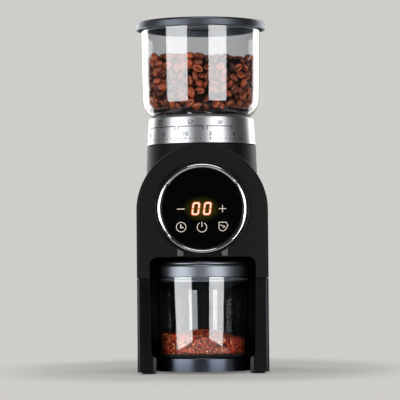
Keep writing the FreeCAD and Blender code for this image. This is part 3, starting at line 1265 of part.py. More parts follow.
os.makedirs("parts", exist_ok=True)
for make in NODES:
    shape = make()
    sound = shape.isValid() and all(s.isClosed() and s.Volume > 0 for s in shape.Solids)
    state = "ok" if sound else "BAD"
    print(f"{make.__name__}: {len(shape.Solids)} solid, {shape.Volume / 1000:.2f} cm3, {state}")
    shape.exportStep(os.path.join("parts", make.__name__ + ".step"))
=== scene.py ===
import math

import bmesh
import bpy
import numpy as np
from mathutils import Matrix, Vector


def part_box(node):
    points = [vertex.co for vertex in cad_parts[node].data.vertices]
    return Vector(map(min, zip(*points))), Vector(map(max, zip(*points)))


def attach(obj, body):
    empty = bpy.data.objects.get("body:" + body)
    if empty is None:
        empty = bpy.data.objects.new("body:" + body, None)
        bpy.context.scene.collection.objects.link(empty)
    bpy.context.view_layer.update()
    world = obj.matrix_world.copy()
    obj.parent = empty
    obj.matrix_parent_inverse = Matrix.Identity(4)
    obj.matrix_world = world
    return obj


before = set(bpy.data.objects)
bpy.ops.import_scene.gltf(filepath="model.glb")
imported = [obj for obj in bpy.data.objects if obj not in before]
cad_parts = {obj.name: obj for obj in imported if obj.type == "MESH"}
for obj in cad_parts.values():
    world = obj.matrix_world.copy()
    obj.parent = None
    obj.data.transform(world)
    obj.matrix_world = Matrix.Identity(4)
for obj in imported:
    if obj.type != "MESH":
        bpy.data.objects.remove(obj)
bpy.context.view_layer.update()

bl_info = {
    "name": "Burr Coffee Grinder",
    "version": (1, 0, 0),
    "blender": (4, 5, 0),
    "location": "View3D > Sidebar > Grinder",
    "description": "Dresses the packed coffee grinder: finishes, beans, grounds, markings and studio",
    "category": "Object",
}

MM = 0.001
SEED = 11

# Where the CAD parts are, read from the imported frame
GLASS_LOW, GLASS_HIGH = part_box("touch_glass")
PANEL_Z = (GLASS_LOW.z + GLASS_HIGH.z) / 2
CUP_LOW, CUP_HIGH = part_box("grounds_cup")
CUP_Y = (CUP_LOW.y + CUP_HIGH.y) / 2
HOPPER_LOW, HOPPER_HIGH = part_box("hopper")
THROAT_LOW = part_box("hopper_collar")[0].z
RING_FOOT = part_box("adjuster_sleeve")[0].z
BODY_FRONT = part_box("upper_housing")[0].y


# Colours and sizes that a user may change

def linear(code):
    """Turn an sRGB hex colour into Blender's linear red, green, blue and alpha."""
    channels = [int(code[i:i + 2], 16) / 255 for i in (1, 3, 5)]
    return tuple(c / 12.92 if c <= 0.04045 else ((c + 0.055) / 1.055) ** 2.4 for c in channels) + (1.0,)


def paint(name, description, code):
    """Colour property with an sRGB hex default."""
    return bpy.props.FloatVectorProperty(name=name, description=description, default=linear(code),
                                         size=4, min=0.0, max=1.0, subtype="COLOR")


def length(name, description, millimetres):
    """Length property with its default in millimetres."""
    return bpy.props.FloatProperty(name=name, description=description, default=millimetres * MM,
                                   min=0.0, precision=5, unit="LENGTH", subtype="DISTANCE")


def brightness(name, description, level):
    """Brightness property."""
    return bpy.props.FloatProperty(name=name, description=description, default=level, min=0.0)


class GrinderColours(bpy.types.PropertyGroup):
    """Colours of the grinder's finishes."""
    housing: paint("Housing", "Spark-textured ABS of the upper housing and rear cover", "#111112")
    base: paint("Base", "Satin blue-black ABS of the lower housing", "#06080b")
    bay: paint("Bay", "Black ABS of the cup bay and the panel carrier", "#060607")
    rubber: paint("Rubber", "Feet, mounts, cord gland and the cup's boot", "#151516")
    silicone: paint("Silicone", "Grey gasket and lid seals", "#45474a")
    aluminium: paint("Adjuster ring", "Satin aluminium of the adjuster ring", "#c8cacd")
    chrome: paint("Chrome", "Plated bezel round the touch panel", "#dfe1e4")
    cup_lid: paint("Cup lid", "Satin steel of the cup's lid", "#747980")
    gunmetal: paint("Gunmetal", "Rim of the hopper's lid", "#5e636b")
    stand: paint("Cup stand", "Dark satin metal under the cup", "#4c525d")
    lid_panel: paint("Lid panel", "Dark moulded panel inside the lid rim", "#222427")
    hopper: paint("Hopper", "Faint smoke tint of the hopper", "#eceef1")
    cup: paint("Cup", "Clear grounds cup", "#eff1f3")
    glass: paint("Touch glass", "Black glass of the touch panel", "#030304")
    bean_dark: paint("Dark beans", "Darkest roasted beans", "#240c05")
    bean_light: paint("Light beans", "Lightest roasted beans", "#bb5730")
    grounds: paint("Grounds", "Main colour of the ground coffee", "#a02d1a")
    ink: paint("Scale ink", "Pad-printed scale on the ring", "#0c0d0f")
    digit: paint("Digits", "Lit digit segments", "#fff6ea")
    # Painted glow round the digits: colours of the fringe and halo sheets
    fringe: paint("Digit fringe", "Orange light round each digit segment", "#ff7a18")
    halo: paint("Digit halo", "Dim red light further out round each digit", "#7d2f00")
    # Painted glow: the touch glass glows in this colour round the digits
    glow: paint("Digit glow", "Dim amber light inside the glass round the digits", "#3d3808")
    icon: paint("Touch icons", "Lit touch icons", "#fff0e2")
    paper: paint("Paper", "Pale paper that the grinder stands on", "#e6e4e0")
    backdrop: paint("Backdrop", "Pale room behind the paper, as the camera sees it", "#cfcdc9")


class GrinderSizes(bpy.types.PropertyGroup):
    """Sizes of the pieces that are added to the CAD parts."""
    bean_count: bpy.props.IntProperty(name="Beans", description="Number of beans in the hopper",
                                      default=1280, min=1, max=3000)
    bean_level: length("Bean level", "Top of the beans, above the table", 327.0)
    bean_length: length("Bean length", "Length of the largest bean", 11.8)
    bean_width: length("Bean width", "Width of the largest bean", 8.2)
    bean_thickness: length("Bean thickness", "Thickness of the largest bean", 5.7)
    heap_middle: length("Heap middle", "Top of the ground coffee in the cup's middle, above the table", 43.8)
    heap_left: length("Heap left", "Top of the ground coffee at the cup's left wall, above the table", 40.2)
    heap_right: length("Heap right",
                       "Top of the ground coffee at the cup's right wall, above the table", 34.6)
    granule: length("Granule", "Size of the coarsest ground coffee", 1.3)
    print_height: length("Print thickness", "Thickness of the printed scale and lit marks", 0.08)
    numeral_height: length("Numeral height", "Height of the numerals on the ring", 4.0)
    digit_height: length("Digit height", "Height of a lit digit", 12.3)
    digit_width: length("Digit width", "Width of a lit digit", 7.1)
    digit_stroke: length("Digit stroke", "Width of a digit segment", 1.15)
    icon_radius: length("Icon radius", "Outer radius of the round touch icons", 5.05)
    icon_stroke: length("Icon stroke", "Line width of the touch icons", 0.6)
    lamp_level: brightness("Lamp level", "Brightness of the front softboxes", 4.8)
    top_level: brightness("Top lamp level", "Brightness of the softbox above", 3.6)
    rim_level: brightness("Rim lamp level", "Brightness of the rear softboxes", 2.6)
    sky_level: brightness("Room level", "Brightness of the room itself", 0.04)


# Node trees

class Nodes:
    """Node tree of a material or the world: each method adds a node and gives the socket it makes."""

    def __init__(self, owner):
        owner.use_nodes = True
        self.owner, self.tree = owner, owner.node_tree
        self.tree.nodes.clear()

    def add(self, kind, inputs=None):
        """Add a node and give all its outputs. Inputs fill its attributes, colour stops or sockets, or
        join a socket to another node's output."""
        node = self.tree.nodes.new("ShaderNode" + kind)
        for key, value in (inputs or {}).items():
            if isinstance(value, bpy.types.NodeSocket):
                self.tree.links.new(value, node.inputs[key])
            elif key == "stops":
                ramp = node.color_ramp.elements
                while len(ramp) < len(value):
                    ramp.new(1.0)
                for stop, (position, colour) in zip(ramp, value):
                    stop.position = position
                    stop.color = colour
            elif isinstance(key, str) and hasattr(node, key):
                setattr(node, key, value)
            else:
                node.inputs[key].default_value = value
        return node.outputs

    def noise(self, place, grain, detail, rough=0.5):
        """Noise with grains of that size."""
        return self.add("TexNoise", {"Scale": 1 / grain, "Detail": detail, "Roughness": rough,
                                     "Vector": place})[0]

    def mix(self, share, first, second):
        """Colour between two others."""
        return self.add("Mix", {"data_type": "RGBA", 0: share, 6: first, 7: second})[2]

    def fit(self, value, low, high, start=0.0, stop=1.0, **settings):
        """Value carried over from the range start to stop into the range low to high."""
        return self.add("MapRange", {**settings, "From Min": start, "From Max": stop, "To Min": low,
                                     "To Max": high, "Value": value})[0]

    def maths(self, operation, *terms, clamp=False):
        """Arithmetic on numbers."""
        return self.add("Math", {"operation": operation, "use_clamp": clamp, **dict(enumerate(terms))})[0]

    def vector(self, operation, *terms):
        """Arithmetic on vectors."""
        made = self.add("VectorMath", {"operation": operation, **dict(enumerate(terms))})
        return made["Value" if operation == "LENGTH" else "Vector"]

    def bump(self, height, strength, depth, **settings):
        """Normals of a relief."""
        return self.add("Bump", {"Strength": strength, "Distance": depth, "Height": height, **settings})[0]

    def shader(self, inputs):
        """Principled surface."""
        return self.add("BsdfPrincipled", inputs)[0]

    def end(self, surface):
        """Join the finished surface to the material's output, and give the material."""
        self.add("OutputMaterial", {"Surface": surface})
        return self.owner


def start(name):
    """Nodes of a new material, and its object coordinates."""
    nodes = Nodes(bpy.data.materials.new(name))
    return nodes, nodes.add("TexCoord")["Object"]


def tint(colour, factor):
    """The colour times a factor, for a darker or lighter shade of it."""
    return tuple(min(c * factor, 1.0) for c in colour[:3]) + (1.0,)


def grained(name, colour, grain, depth, rough, cloud=0.25, inputs=None):
    """Moulded, cast or sintered surface: grain of that size in the relief, tone and gloss."""
    nodes, place = start(name)
    fine = nodes.noise(place, grain, 3.0, 0.65)
    broad = nodes.noise(place, 30 * MM, 3.0)
    mixed = nodes.maths("MULTIPLY_ADD", fine, 0.6, nodes.maths("MULTIPLY", broad, 0.4))
    return nodes.end(nodes.shader({
        **(inputs or {}),
        "Base Color": nodes.mix(mixed, tint(colour, 1 - cloud), tint(colour, 1 + cloud)),
        "Roughness": nodes.fit(mixed, rough - 0.07, rough + 0.07, 0.3, 0.7),
        "Normal": nodes.bump(fine, 1.0, depth)}))


def turned(name, colour, centre_y, line, rough, streak, depth, cloud, anisotropy):
    """Metal turned or brushed round an upright axis: fine lines that run round it."""
    nodes, place = start(name)
    centred = nodes.vector("SUBTRACT", place, (0.0, centre_y, 0.0))
    level = nodes.vector("MULTIPLY", centred, (1.0, 1.0, 0.0))
    height = nodes.add("SeparateXYZ", {0: centred})[2]
    across = nodes.maths("ADD", height, nodes.vector("LENGTH", level))
    lines = nodes.add("CombineXYZ", {2: nodes.maths("DIVIDE", across, line)})[0]
    spread = nodes.vector("MULTIPLY_ADD", nodes.vector("NORMALIZE", level), (5.0, 5.0, 5.0), lines)
    scratch = nodes.noise(spread, 1.0, 4.0, 0.7)
    return nodes.end(nodes.shader({
        "Metallic": 1.0, "Anisotropic": anisotropy,
        "Base Color": nodes.mix(scratch, tint(colour, 1 - streak), tint(colour, 1 + streak)),
        "Roughness": nodes.fit(scratch, rough - cloud, rough + cloud, 0.3, 0.7),
        "Normal": nodes.bump(scratch, 0.25, depth),
        "Tangent": nodes.add("Tangent", {"direction_type": "RADIAL", "axis": "Z"})[0]}))


def clear(name, colour, rough):
    """Clear moulded plastic with a hard coat: it lets lamplight through, with a faint flow haze."""
    nodes, place = start(name)
    haze = nodes.noise(place, 18 * MM, 3.0)
    body = nodes.shader({"Base Color": colour, "Transmission Weight": 1.0, "IOR": 1.58, "Coat Weight": 0.35,
                         "Coat Roughness": 0.02, "Coat IOR": 1.5,
                         "Roughness": nodes.fit(haze, rough * 0.6, rough * 1.5, 0.35, 0.7),
                         "Normal": nodes.bump(haze, 0.15, 0.05 * MM)})
    passing = nodes.add("BsdfTransparent", {"Color": colour})[0]
    shadow_ray = nodes.add("LightPath")["Is Shadow Ray"]
    return nodes.end(nodes.add("MixShader", {0: shadow_ray, 1: body, 2: passing})[0])


def lit(name, colour, strength):
    """Lit diffuser over an LED, also used for the painted glow round the digits: bright, with a fine diffuser
    grain.
    """
    nodes, place = start(name)
    glow = nodes.mix(nodes.noise(place, 0.8 * MM, 2.0), tint(colour, 0.85), colour)
    return nodes.end(nodes.shader({"Base Color": linear("#000000"), "Roughness": 0.5,
                                   "Specular IOR Level": 0.1, "Emission Strength": strength,
                                   "Emission Color": glow}))


def dress(material, *nodes):
    """Give CAD nodes their finish."""
    for node in nodes:
        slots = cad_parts[node].data.materials
        slots.clear()
        slots.append(material)


# Mesh helpers

def piece(name, points, faces, material, body, smooth=False, tones=None):
    """Build one mesh object in the frame, with per-point numbers for its material, and ride it on a body."""
    mesh = bpy.data.meshes.new(name)
    mesh.from_pydata(points, [], faces)
    mesh.validate()
    for key, values in (tones or {}).items():
        mesh.attributes.new(key, "FLOAT", "POINT").data.foreach_set("value", values)
    if smooth:
        mesh.shade_smooth()
    mesh.materials.append(material)
    made = bpy.data.objects.new(name, mesh)
    bpy.context.scene.collection.objects.link(made)
    if body:
        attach(made, body)
    return made


def hit(node, origin, way):
    """Where a ray first meets a CAD node."""
    found, place, _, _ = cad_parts[node].ray_cast(origin, way)
    if not found:
        raise RuntimeError(f"no {node} on the way from {origin}")
    return place


def wall_at(node, centre_y, height):
    """Radius of a round node's inner wall at a height."""
    return hit(node, (0, centre_y, height), (1, 0, 0)).x


def band(points, width, closed=False):
    """Flat line of that width along points: left and right edges, mitred at its corners."""
    spots = np.array(points, float)
    ahead = np.roll(spots, -1, 0) - spots
    if not closed:
        ahead[-1] = ahead[-2]
    ahead /= np.linalg.norm(ahead, axis=1)[:, None]
    behind = np.roll(ahead, 1, 0)
    if not closed:
        behind[0] = ahead[0]
    mean = ahead + behind
    mean /= np.linalg.norm(mean, axis=1)[:, None]
    out = np.stack([-mean[:, 1], mean[:, 0]], 1) * (width / 2 / np.sum(mean * ahead, 1))[:, None]
    return spots + out, spots - out, closed


def arc(centre, radius, first, last, count):
    """Points of an arc, from one angle in degrees to another."""
    angles = np.radians(np.linspace(first, last, count))
    return [(centre[0] + radius * math.cos(a), centre[1] + radius * math.sin(a)) for a in angles]


def raise_bands(bands, low, high, place):
    """Thin closed bars from flat lines: points and faces, each point placed by place(u, v, height)."""
    points, faces = [], []
    for left, right, closed in bands:
        first, count = len(points), len(left)
        for (lu, lv), (ru, rv) in zip(left, right):
            points += [place(lu, lv, low), place(ru, rv, low), place(ru, rv, high), place(lu, lv, high)]
        runs = range(count if closed else count - 1)
        for i in runs:
            a, b = first + 4 * i, first + 4 * ((i + 1) % count)
            faces += [(a + k, b + k, b + (k + 1) % 4, a + (k + 1) % 4) for k in range(4)]
        if not closed:
            last = first + 4 * (count - 1)
            faces += [tuple(first + k for k in (0, 1, 2, 3)), tuple(last + k for k in (3, 2, 1, 0))]
    return points, faces


def outward(made):
    """Turn a piece's faces outwards and weld points that share a place."""
    mesh = bmesh.new()
    mesh.from_mesh(made.data)
    bmesh.ops.remove_doubles(mesh, verts=mesh.verts, dist=1e-7)
    bmesh.ops.recalc_face_normals(mesh, faces=mesh.faces)
    mesh.to_mesh(made.data)
    mesh.free()
    return made


# Finishes of the CAD parts

class GRINDER_OT_housing(bpy.types.Operator):
    """Give the moulded outer parts their plastics and rubber"""
    bl_idname = "grinder.housing"
    bl_label = "Housing finishes"

    def execute(self, context):
        hue = context.scene.grinder_colours
        # Spark-eroded ABS: a fine matt grain, drawn coarser than its real 0.15 mm so that it shows
        dress(grained("Spark-textured ABS", hue.housing, 1.1 * MM, 0.16 * MM, 0.50, 0.5,
                      {"Specular IOR Level": 0.14}), "upper_housing", "rear_cover")
        # Satin ABS: smoother than the top half, with soft broad reflections
        dress(grained("Satin ABS", hue.base, 0.9 * MM, 0.012 * MM, 0.26, 0.3,
                      {"Specular IOR Level": 0.26}), "lower_housing", "base_plate")
        # Polished ABS: near-black with clean reflections and a faint orange-peel flow
        dress(grained("Polished ABS", hue.bay, 6 * MM, 0.01 * MM, 0.28, 0.2,
                      {"Specular IOR Level": 0.35}), "control_carrier")
        # Moulded ABS inside the bay: dull enough to stay black behind the clear cup
        dress(grained("Moulded bay ABS", hue.bay, 0.8 * MM, 0.02 * MM, 0.45, 0.2,
                      {"Specular IOR Level": 0.15}), "cup_bay")
        # Moulded rubber: dull and dry
        dress(grained("Moulded rubber", hue.rubber, 0.5 * MM, 0.05 * MM, 0.78, 0.3,
                      {"Specular IOR Level": 0.3}),
              "rubber_feet", "vibration_mounts", "cord_gland", "cup_foot")
        # Silicone: soft satin grey with a dusty bloom
        dress(grained("Moulded silicone", hue.silicone, 0.6 * MM, 0.03 * MM, 0.55, 0.2,
                      {"Sheen Weight": 0.15}), "hopper_gasket", "lid_seal", "cup_lid_seal")
        # Dark moulded lid panel: even matt centre of the lid
        dress(grained("Matt ABS", hue.lid_panel, 0.5 * MM, 0.04 * MM, 0.5, 0.25), "lid_panel")
        dress(self.touch_glass(hue), "touch_glass")
        return {"FINISHED"}

    def touch_glass(self, hue):
        """Back-painted glass: black and clean, with a painted amber glow round the digits, an emission in the
        glass that stands in for their spread light.
        """
        nodes, place = start("Back-painted glass")
        near = nodes.add("Mapping", {"vector_type": "TEXTURE", "Vector": place,
                                     "Location": (-0.5 * MM, GLASS_LOW.y, PANEL_Z - 0.6 * MM),
                                     "Scale": (19 * MM, 20 * MM, 13 * MM)})[0]
        # Painted glow: amber emission, strongest at the digits' middle and fading outwards
        glow = nodes.add("TexGradient", {"gradient_type": "SPHERICAL", "Vector": near})[1]
        light = nodes.mix(nodes.maths("POWER", glow, 0.9), linear("#000000"), hue.glow)
        smear = nodes.noise(place, 9 * MM, 4.0)
        return nodes.end(nodes.shader({"Base Color": hue.glass, "IOR": 1.5, "Specular IOR Level": 0.3,
                                       "Roughness": nodes.fit(smear, 0.02, 0.12),
                                       "Emission Strength": 1.0, "Emission Color": light}))


class GRINDER_OT_metal(bpy.types.Operator):
    """Give the outer trim its metals"""
    bl_idname = "grinder.metal"
    bl_label = "Metal trim"

    def execute(self, context):
        hue = context.scene.grinder_colours
        # Satin aluminium: so finely turned that the lines, drawn at 0.4 mm, only just break the gloss
        dress(turned("Satin-turned aluminium", hue.aluminium, 0.0, 0.4 * MM, 0.32, 0.012, 0.0005 * MM, 0.015,
                     0.1), "adjuster_sleeve")
        # Satin gunmetal: dark metal with long soft highlights
        dress(turned("Gunmetal plate", hue.gunmetal, 0.0, 0.4 * MM, 0.37, 0.05, 0.003 * MM, 0.03, 0.4),
              "lid_rim")
        # Satin steel: a lighter grey, with the same soft highlights
        dress(turned("Satin steel", hue.cup_lid, CUP_Y, 0.4 * MM, 0.38, 0.04, 0.003 * MM, 0.03, 0.4),
              "cup_lid")
        # Anodised dark stand: satin, with soft bright bands from the lamps
        dress(turned("Anodised stand metal", hue.stand, CUP_Y, 0.4 * MM, 0.24, 0.05, 0.003 * MM, 0.03, 0.4),
              "cup_stand")
        # Chrome plate: mirror-bright, with the faint waviness of plated plastic
        dress(grained("Chrome plate", hue.chrome, 8 * MM, 0.004 * MM, 0.09, 0.02, {"Metallic": 1.0}),
              "chrome_bezel")
        return {"FINISHED"}


class GRINDER_OT_clear(bpy.types.Operator):
    """Give the hopper and the cup their clear plastic"""
    bl_idname = "grinder.clear"
    bl_label = "Clear parts"

    def execute(self, context):
        hue = context.scene.grinder_colours
        # Clear polycarbonate: water-clear with bright edges, faintly smoked in the hopper
        dress(clear("Smoke-clear polycarbonate", hue.hopper, 0.02), "hopper")
        dress(clear("Clear polycarbonate", hue.cup, 0.015), "grounds_cup")
        return {"FINISHED"}


class GRINDER_OT_works(bpy.types.Operator):
    """Give the grinding works, the motor and the boards their finishes"""
    bl_idname = "grinder.works"
    bl_label = "Works finishes"

    def execute(self, context):
        metal = {"Metallic": 1.0}
        rows = [
            # Glass-filled nylon: dull black with a coarse flow grain
            ("Glass-filled nylon", "#1a1b1c", 0.6, 0.03, 0.58, 0.3, {},
             ("adjuster_core", "hopper_collar", "burr_carrier", "grind_chamber", "grounds_chute",
              "impeller")),
            # Hardened steel: ground grey with fine wheel marks
            ("Hardened burr steel", "#8f9092", 0.5, 0.02, 0.34, 0.15, metal, ("cone_burr", "ring_burr")),
            # Bright steel: drawn and polished
            ("Bright drawn steel", "#c3c5c7", 1.2, 0.004, 0.22, 0.06, metal,
             ("drive_shaft", "burr_nut", "idler_pin", "motor_shaft")),
            # Zinc plate: pale and slightly blue, a little cloudy
            ("Zinc-plated screws", "#b8bdc2", 0.8, 0.01, 0.36, 0.12, metal,
             ("rear_cover_screws", "base_screws", "chamber_screws", "gear_case_screws", "motor_screws",
              "board_screws")),
            # Sintered bronze: warm, porous and oily
            ("Sintered bronze", "#8a6238", 0.4, 0.04, 0.45, 0.3, metal, ("shaft_bushes",)),
            # Acetal: milky white with a waxy sheen
            ("Machined acetal", "#e6e4dc", 0.8, 0.01, 0.38, 0.04, {}, ("output_gear", "idler_gear")),
            # Brass: yellow hobbed teeth
            ("Hobbed brass", "#c9a14a", 0.6, 0.01, 0.28, 0.1, metal, ("motor_pinion",)),
            # Zinc-plated deep-drawn can: smooth grey
            ("Plated motor steel", "#a9adb1", 2.0, 0.006, 0.32, 0.1, metal, ("motor_can",)),
            # Phenolic cap: brown-black and dull
            ("Moulded phenolic", "#211a17", 0.6, 0.03, 0.55, 0.3, {}, ("motor_end_cap",)),
            # Ferrite: dark grey ceramic with a fine sandy face
            ("Pressed ferrite", "#2b2c2e", 0.4, 0.05, 0.66, 0.3, {}, ("motor_magnets",)),
            # Stacked laminations: blued grey sheet steel
            ("Stacked laminations", "#5d6066", 0.5, 0.04, 0.42, 0.3, metal, ("motor_armature",)),
            # Grey gear case nylon
            ("Gear case nylon", "#3a3c3f", 0.6, 0.03, 0.55, 0.2, {}, ("gear_case", "gear_case_cover")),
            # Solder mask: green lacquer over glass cloth
            ("Solder-masked board", "#174a2c", 0.7, 0.02, 0.35, 0.3, {}, ("display_board", "power_board")),
            # Dark epoxy face of the digit module
            ("Digit module epoxy", "#16171a", 0.8, 0.01, 0.3, 0.2, {}, ("digit_display",)),
            # Open-cell foam under the touch keys
            ("Sensor foam", "#242426", 0.6, 0.12, 0.85, 0.4, {}, ("touch_posts",)),
            # Moulded capacitors and coils on the power board
            ("Component lacquer", "#3b2a22", 0.9, 0.02, 0.4, 0.4, {}, ("power_components",)),
        ]
        for name, code, grain, depth, rough, cloud, sockets, nodes in rows:
            dress(grained(name, linear(code), grain * MM, depth * MM, rough, cloud, sockets), *nodes)
        return {"FINISHED"}


# Coffee

BEAN_ANGLES = (0, 30, 60, 90, 120, 150, 180, 210, 240, 258, 270, 282, 300, 330)


def bean_shape(rings, angles, size):
    """Points, faces and crease share of one bean along x: a domed back and a flat face with a crease."""
    half = size[0] / 2
    points, crease = [(half, 0.0, 0.0)], [0.0]
    for i in range(rings):
        turn = math.pi * (i + 0.62) / (rings + 0.24)
        along, girth = math.cos(turn), math.sin(turn) ** 0.85
        sway = 0.05 * size[1] * math.sin(3.0 * along)
        for degrees in angles:
            a = math.radians(degrees)
            in_crease = max(0.0, 1 - abs(degrees - 270) / 22) * girth ** 1.5
            y = size[1] / 2 * math.cos(a) * girth + sway * (abs(degrees - 270) < 35)
            rise = 0.62 * math.sin(a) if math.sin(a) > 0 else -0.38 * abs(math.sin(a)) ** 0.6
            points.append((half * along, y, size[2] * girth * rise + 0.24 * size[2] * in_crease))
            crease.append(in_crease)
    points.append((-half, 0.0, 0.0))
    crease.append(0.0)
    count, last = len(angles), len(points) - 1
    faces = []
    for k in range(count):
        n = (k + 1) % count
        faces.append((0, 1 + k, 1 + n))
        faces += [(1 + i * count + k, 1 + (i + 1) * count + k, 1 + (i + 1) * count + n, 1 + i * count + n)
                  for i in range(rings - 1)]
        faces.append((last, 1 + (rings - 1) * count + n, 1 + (rings - 1) * count + k))
    return np.array(points), faces, np.array(crease)


def settle(count, ball, reach, wall, top, draw):
    """Pack beans, each two joined balls, in the hopper: small ones grow in place, then sink a little.
    wall holds the inner profile's points and inward normals as radius and height."""
    floor = wall[0, 1]
    middle = []
    while len(middle) < count:
        x, y = draw.uniform(-wall[-1, 0], wall[-1, 0], 2)
        z = draw.uniform(floor, top)
        if math.hypot(x, y) < np.interp(z, wall[:, 1], wall[:, 0]) - ball:
            middle.append((x, y, z))
    axis = draw.normal(size=(count, 3))
    axis *= (reach / 2 / np.linalg.norm(axis, axis=1))[:, None]
    spots = np.concatenate([middle + axis, middle - axis])
    growing, steps = 105, 150
    for step in range(steps):
        grown = min(1.0, 0.45 + 0.6 * step / growing)
        wide = 2 * ball * grown
        if step % 5 == 0:
            gap = sum((spots[:, k, None] - spots[None, :, k]) ** 2 for k in range(3))
            one, two = np.nonzero(np.triu(gap < (wide + 3 * MM) ** 2, 1))
            apart = two - one != count
            one, two = one[apart], two[apart]
        if step >= growing:
            spots[:, 2] -= 0.06 * MM
        for _ in range(4):
            away = spots[one] - spots[two]
            distance = np.sqrt((away ** 2).sum(1)) + 1e-9
            push = away * (np.maximum(wide - distance, 0) / distance * 0.28)[:, None]
            for k in range(3):
                spots[:, k] += np.bincount(one, push[:, k], len(spots))
                spots[:, k] -= np.bincount(two, push[:, k], len(spots))
            link = spots[:count] - spots[count:]
            distance = np.sqrt((link ** 2).sum(1)) + 1e-9
            link *= ((distance - 2 * reach * grown) / distance / 2)[:, None]
            spots[:count] -= link
            spots[count:] += link
            radius = np.sqrt((spots[:, :2] ** 2).sum(1)) + 1e-9
            sideways, upward = radius[:, None] - wall[:, 0], spots[:, 2, None] - wall[:, 1]
            near = (sideways ** 2 + upward ** 2).argmin(1)
            inside = (radius - wall[near, 0]) * wall[near, 2] + (spots[:, 2] - wall[near, 1]) * wall[near, 3]
            lift = np.maximum(ball * grown + 0.6 * MM - inside, 0)
            spots[:, :2] *= (1 + lift * wall[near, 2] / radius)[:, None]
            spots[:, 2] += lift * wall[near, 3]
            spots[:, 2] = np.maximum(spots[:, 2], floor + ball)
            if step < growing:
                spots[:, 2] = np.minimum(spots[:, 2], top - ball)
    axis = spots[:count] - spots[count:]
    return (spots[:count] + spots[count:]) / 2, axis / np.linalg.norm(axis, axis=1)[:, None]


class GRINDER_OT_beans(bpy.types.Operator):
    """Fill the hopper with roasted beans that lie on each other"""
    bl_idname = "grinder.beans"
    bl_label = "Coffee beans"

    def execute(self, context):
        size = context.scene.grinder_sizes
        hue = context.scene.grinder_colours
        draw = np.random.default_rng(SEED)
        heights = np.arange(THROAT_LOW + 1 * MM, HOPPER_HIGH.z - 1 * MM, 0.5 * MM)
        seat, skin = HOPPER_LOW.z, 0.2 * MM
        radii = np.array([wall_at("hopper_collar", 0.0, z) if z < seat - skin else
                          wall_at("hopper", 0.0, max(z, seat + skin)) for z in heights])
        slope = np.gradient(radii, heights)
        lean = np.sqrt(1 + slope ** 2)
        wall = np.stack([radii, heights, -1 / lean, slope / lean], 1)
        ball = size.bean_width * 0.414
        middle, axis = settle(size.bean_count, ball, size.bean_length / 2 - ball, wall, size.bean_level, draw)
        # About half of the beans at the wall turn their flat, creased face to it
        out = middle * (1, 1, 0) / np.sqrt((middle[:, :2] ** 2).sum(1))[:, None]
        roll = out * draw.choice((-1.0, 1.0), (len(middle), 1)) + 0.45 * draw.normal(size=axis.shape)
        side = np.cross(axis, roll)
        side /= np.linalg.norm(side, axis=1)[:, None]
        back = np.cross(axis, side)
        scale = draw.uniform(0.88, 1.0, len(middle))
        tone = draw.beta(1.4, 1.9, len(middle))
        inset = np.interp(middle[:, 2], heights, radii) - np.sqrt((middle[:, :2] ** 2).sum(1))
        top = np.quantile(middle[:, 2], 0.98)
        buried = np.minimum(inset, top + 4 * MM - middle[:, 2])
        seen = (buried < 13 * MM) & (middle[:, 2] > HOPPER_LOW.z)
        beans = (size.bean_length, size.bean_width, size.bean_thickness)
        points, faces, tones, creases, depths = [], [], [], [], []
        for shown, (shape, sides, crease) in ((True, bean_shape(7, BEAN_ANGLES, beans)),
                                              (False, bean_shape(4, BEAN_ANGLES[::2], beans))):
            for i in np.nonzero(seen == shown)[0]:
                first = len(points)
                turned_to = np.stack([axis[i], side[i], back[i]])
                spots = middle[i] + scale[i] * shape @ turned_to
                # Each point's depth behind the wall or under the top, which the finish turns into painted
                # shade
                gone = np.interp(spots[:, 2], heights, radii) - np.sqrt((spots[:, :2] ** 2).sum(1))
                points += spots.tolist()
                depths += np.minimum(gone, top + 4 * MM - spots[:, 2]).tolist()
                faces += [tuple(first + k for k in face) for face in sides]
                tones += [tone[i]] * len(shape)
                creases += crease.tolist()
        outward(piece("coffee_beans", points, faces, self.roast(hue), "hopper", True,
                      {"tone": tones, "crease": creases, "depth": depths}))
        return {"FINISHED"}

    def roast(self, hue):
        """Roasted coffee: brown from bean to bean, mottled and oily, with painted shade in the crease and
        painted shade on the beans that lie deep behind the wall or under the top.
        """
        nodes, place = start("Roasted coffee beans")
        tone, crease, depth = [nodes.add("Attribute", {"attribute_name": name})["Fac"]
                               for name in ("tone", "crease", "depth")]
        mottle = nodes.noise(place, 1.4 * MM, 4.0)
        # Painted shade: points deeper than about 3 mm are darkened almost to black and lose their highlights,
        # standing in for the shade between the beans
        shadow = nodes.fit(depth, 0.0, 0.97, 2.8 * MM, 6.5 * MM)
        level = nodes.maths("ADD", tone, nodes.maths("MULTIPLY_ADD", mottle, 0.7, -0.35), clamp=True)
        brown = nodes.mix(level, hue.bean_dark, hue.bean_light)
        # Painted shade in the crease: the groove is darkened nearly to black
        shaded_crease = nodes.mix(crease, brown, tint(hue.bean_dark, 0.15))
        gloss = nodes.fit(mottle, 0.12, 0.30, 0.3, 0.7)
        return nodes.end(nodes.shader({
            "Specular IOR Level": 1.0,
            "Base Color": nodes.mix(shadow, shaded_crease, tint(hue.bean_dark, 0.05)),
            "Roughness": nodes.maths("MAXIMUM", gloss, shadow),
            "Normal": nodes.bump(mottle, 0.6, 0.12 * MM),
            "Specular Tint": nodes.mix(shadow, linear("#ffc6a8"), linear("#000000"))}))


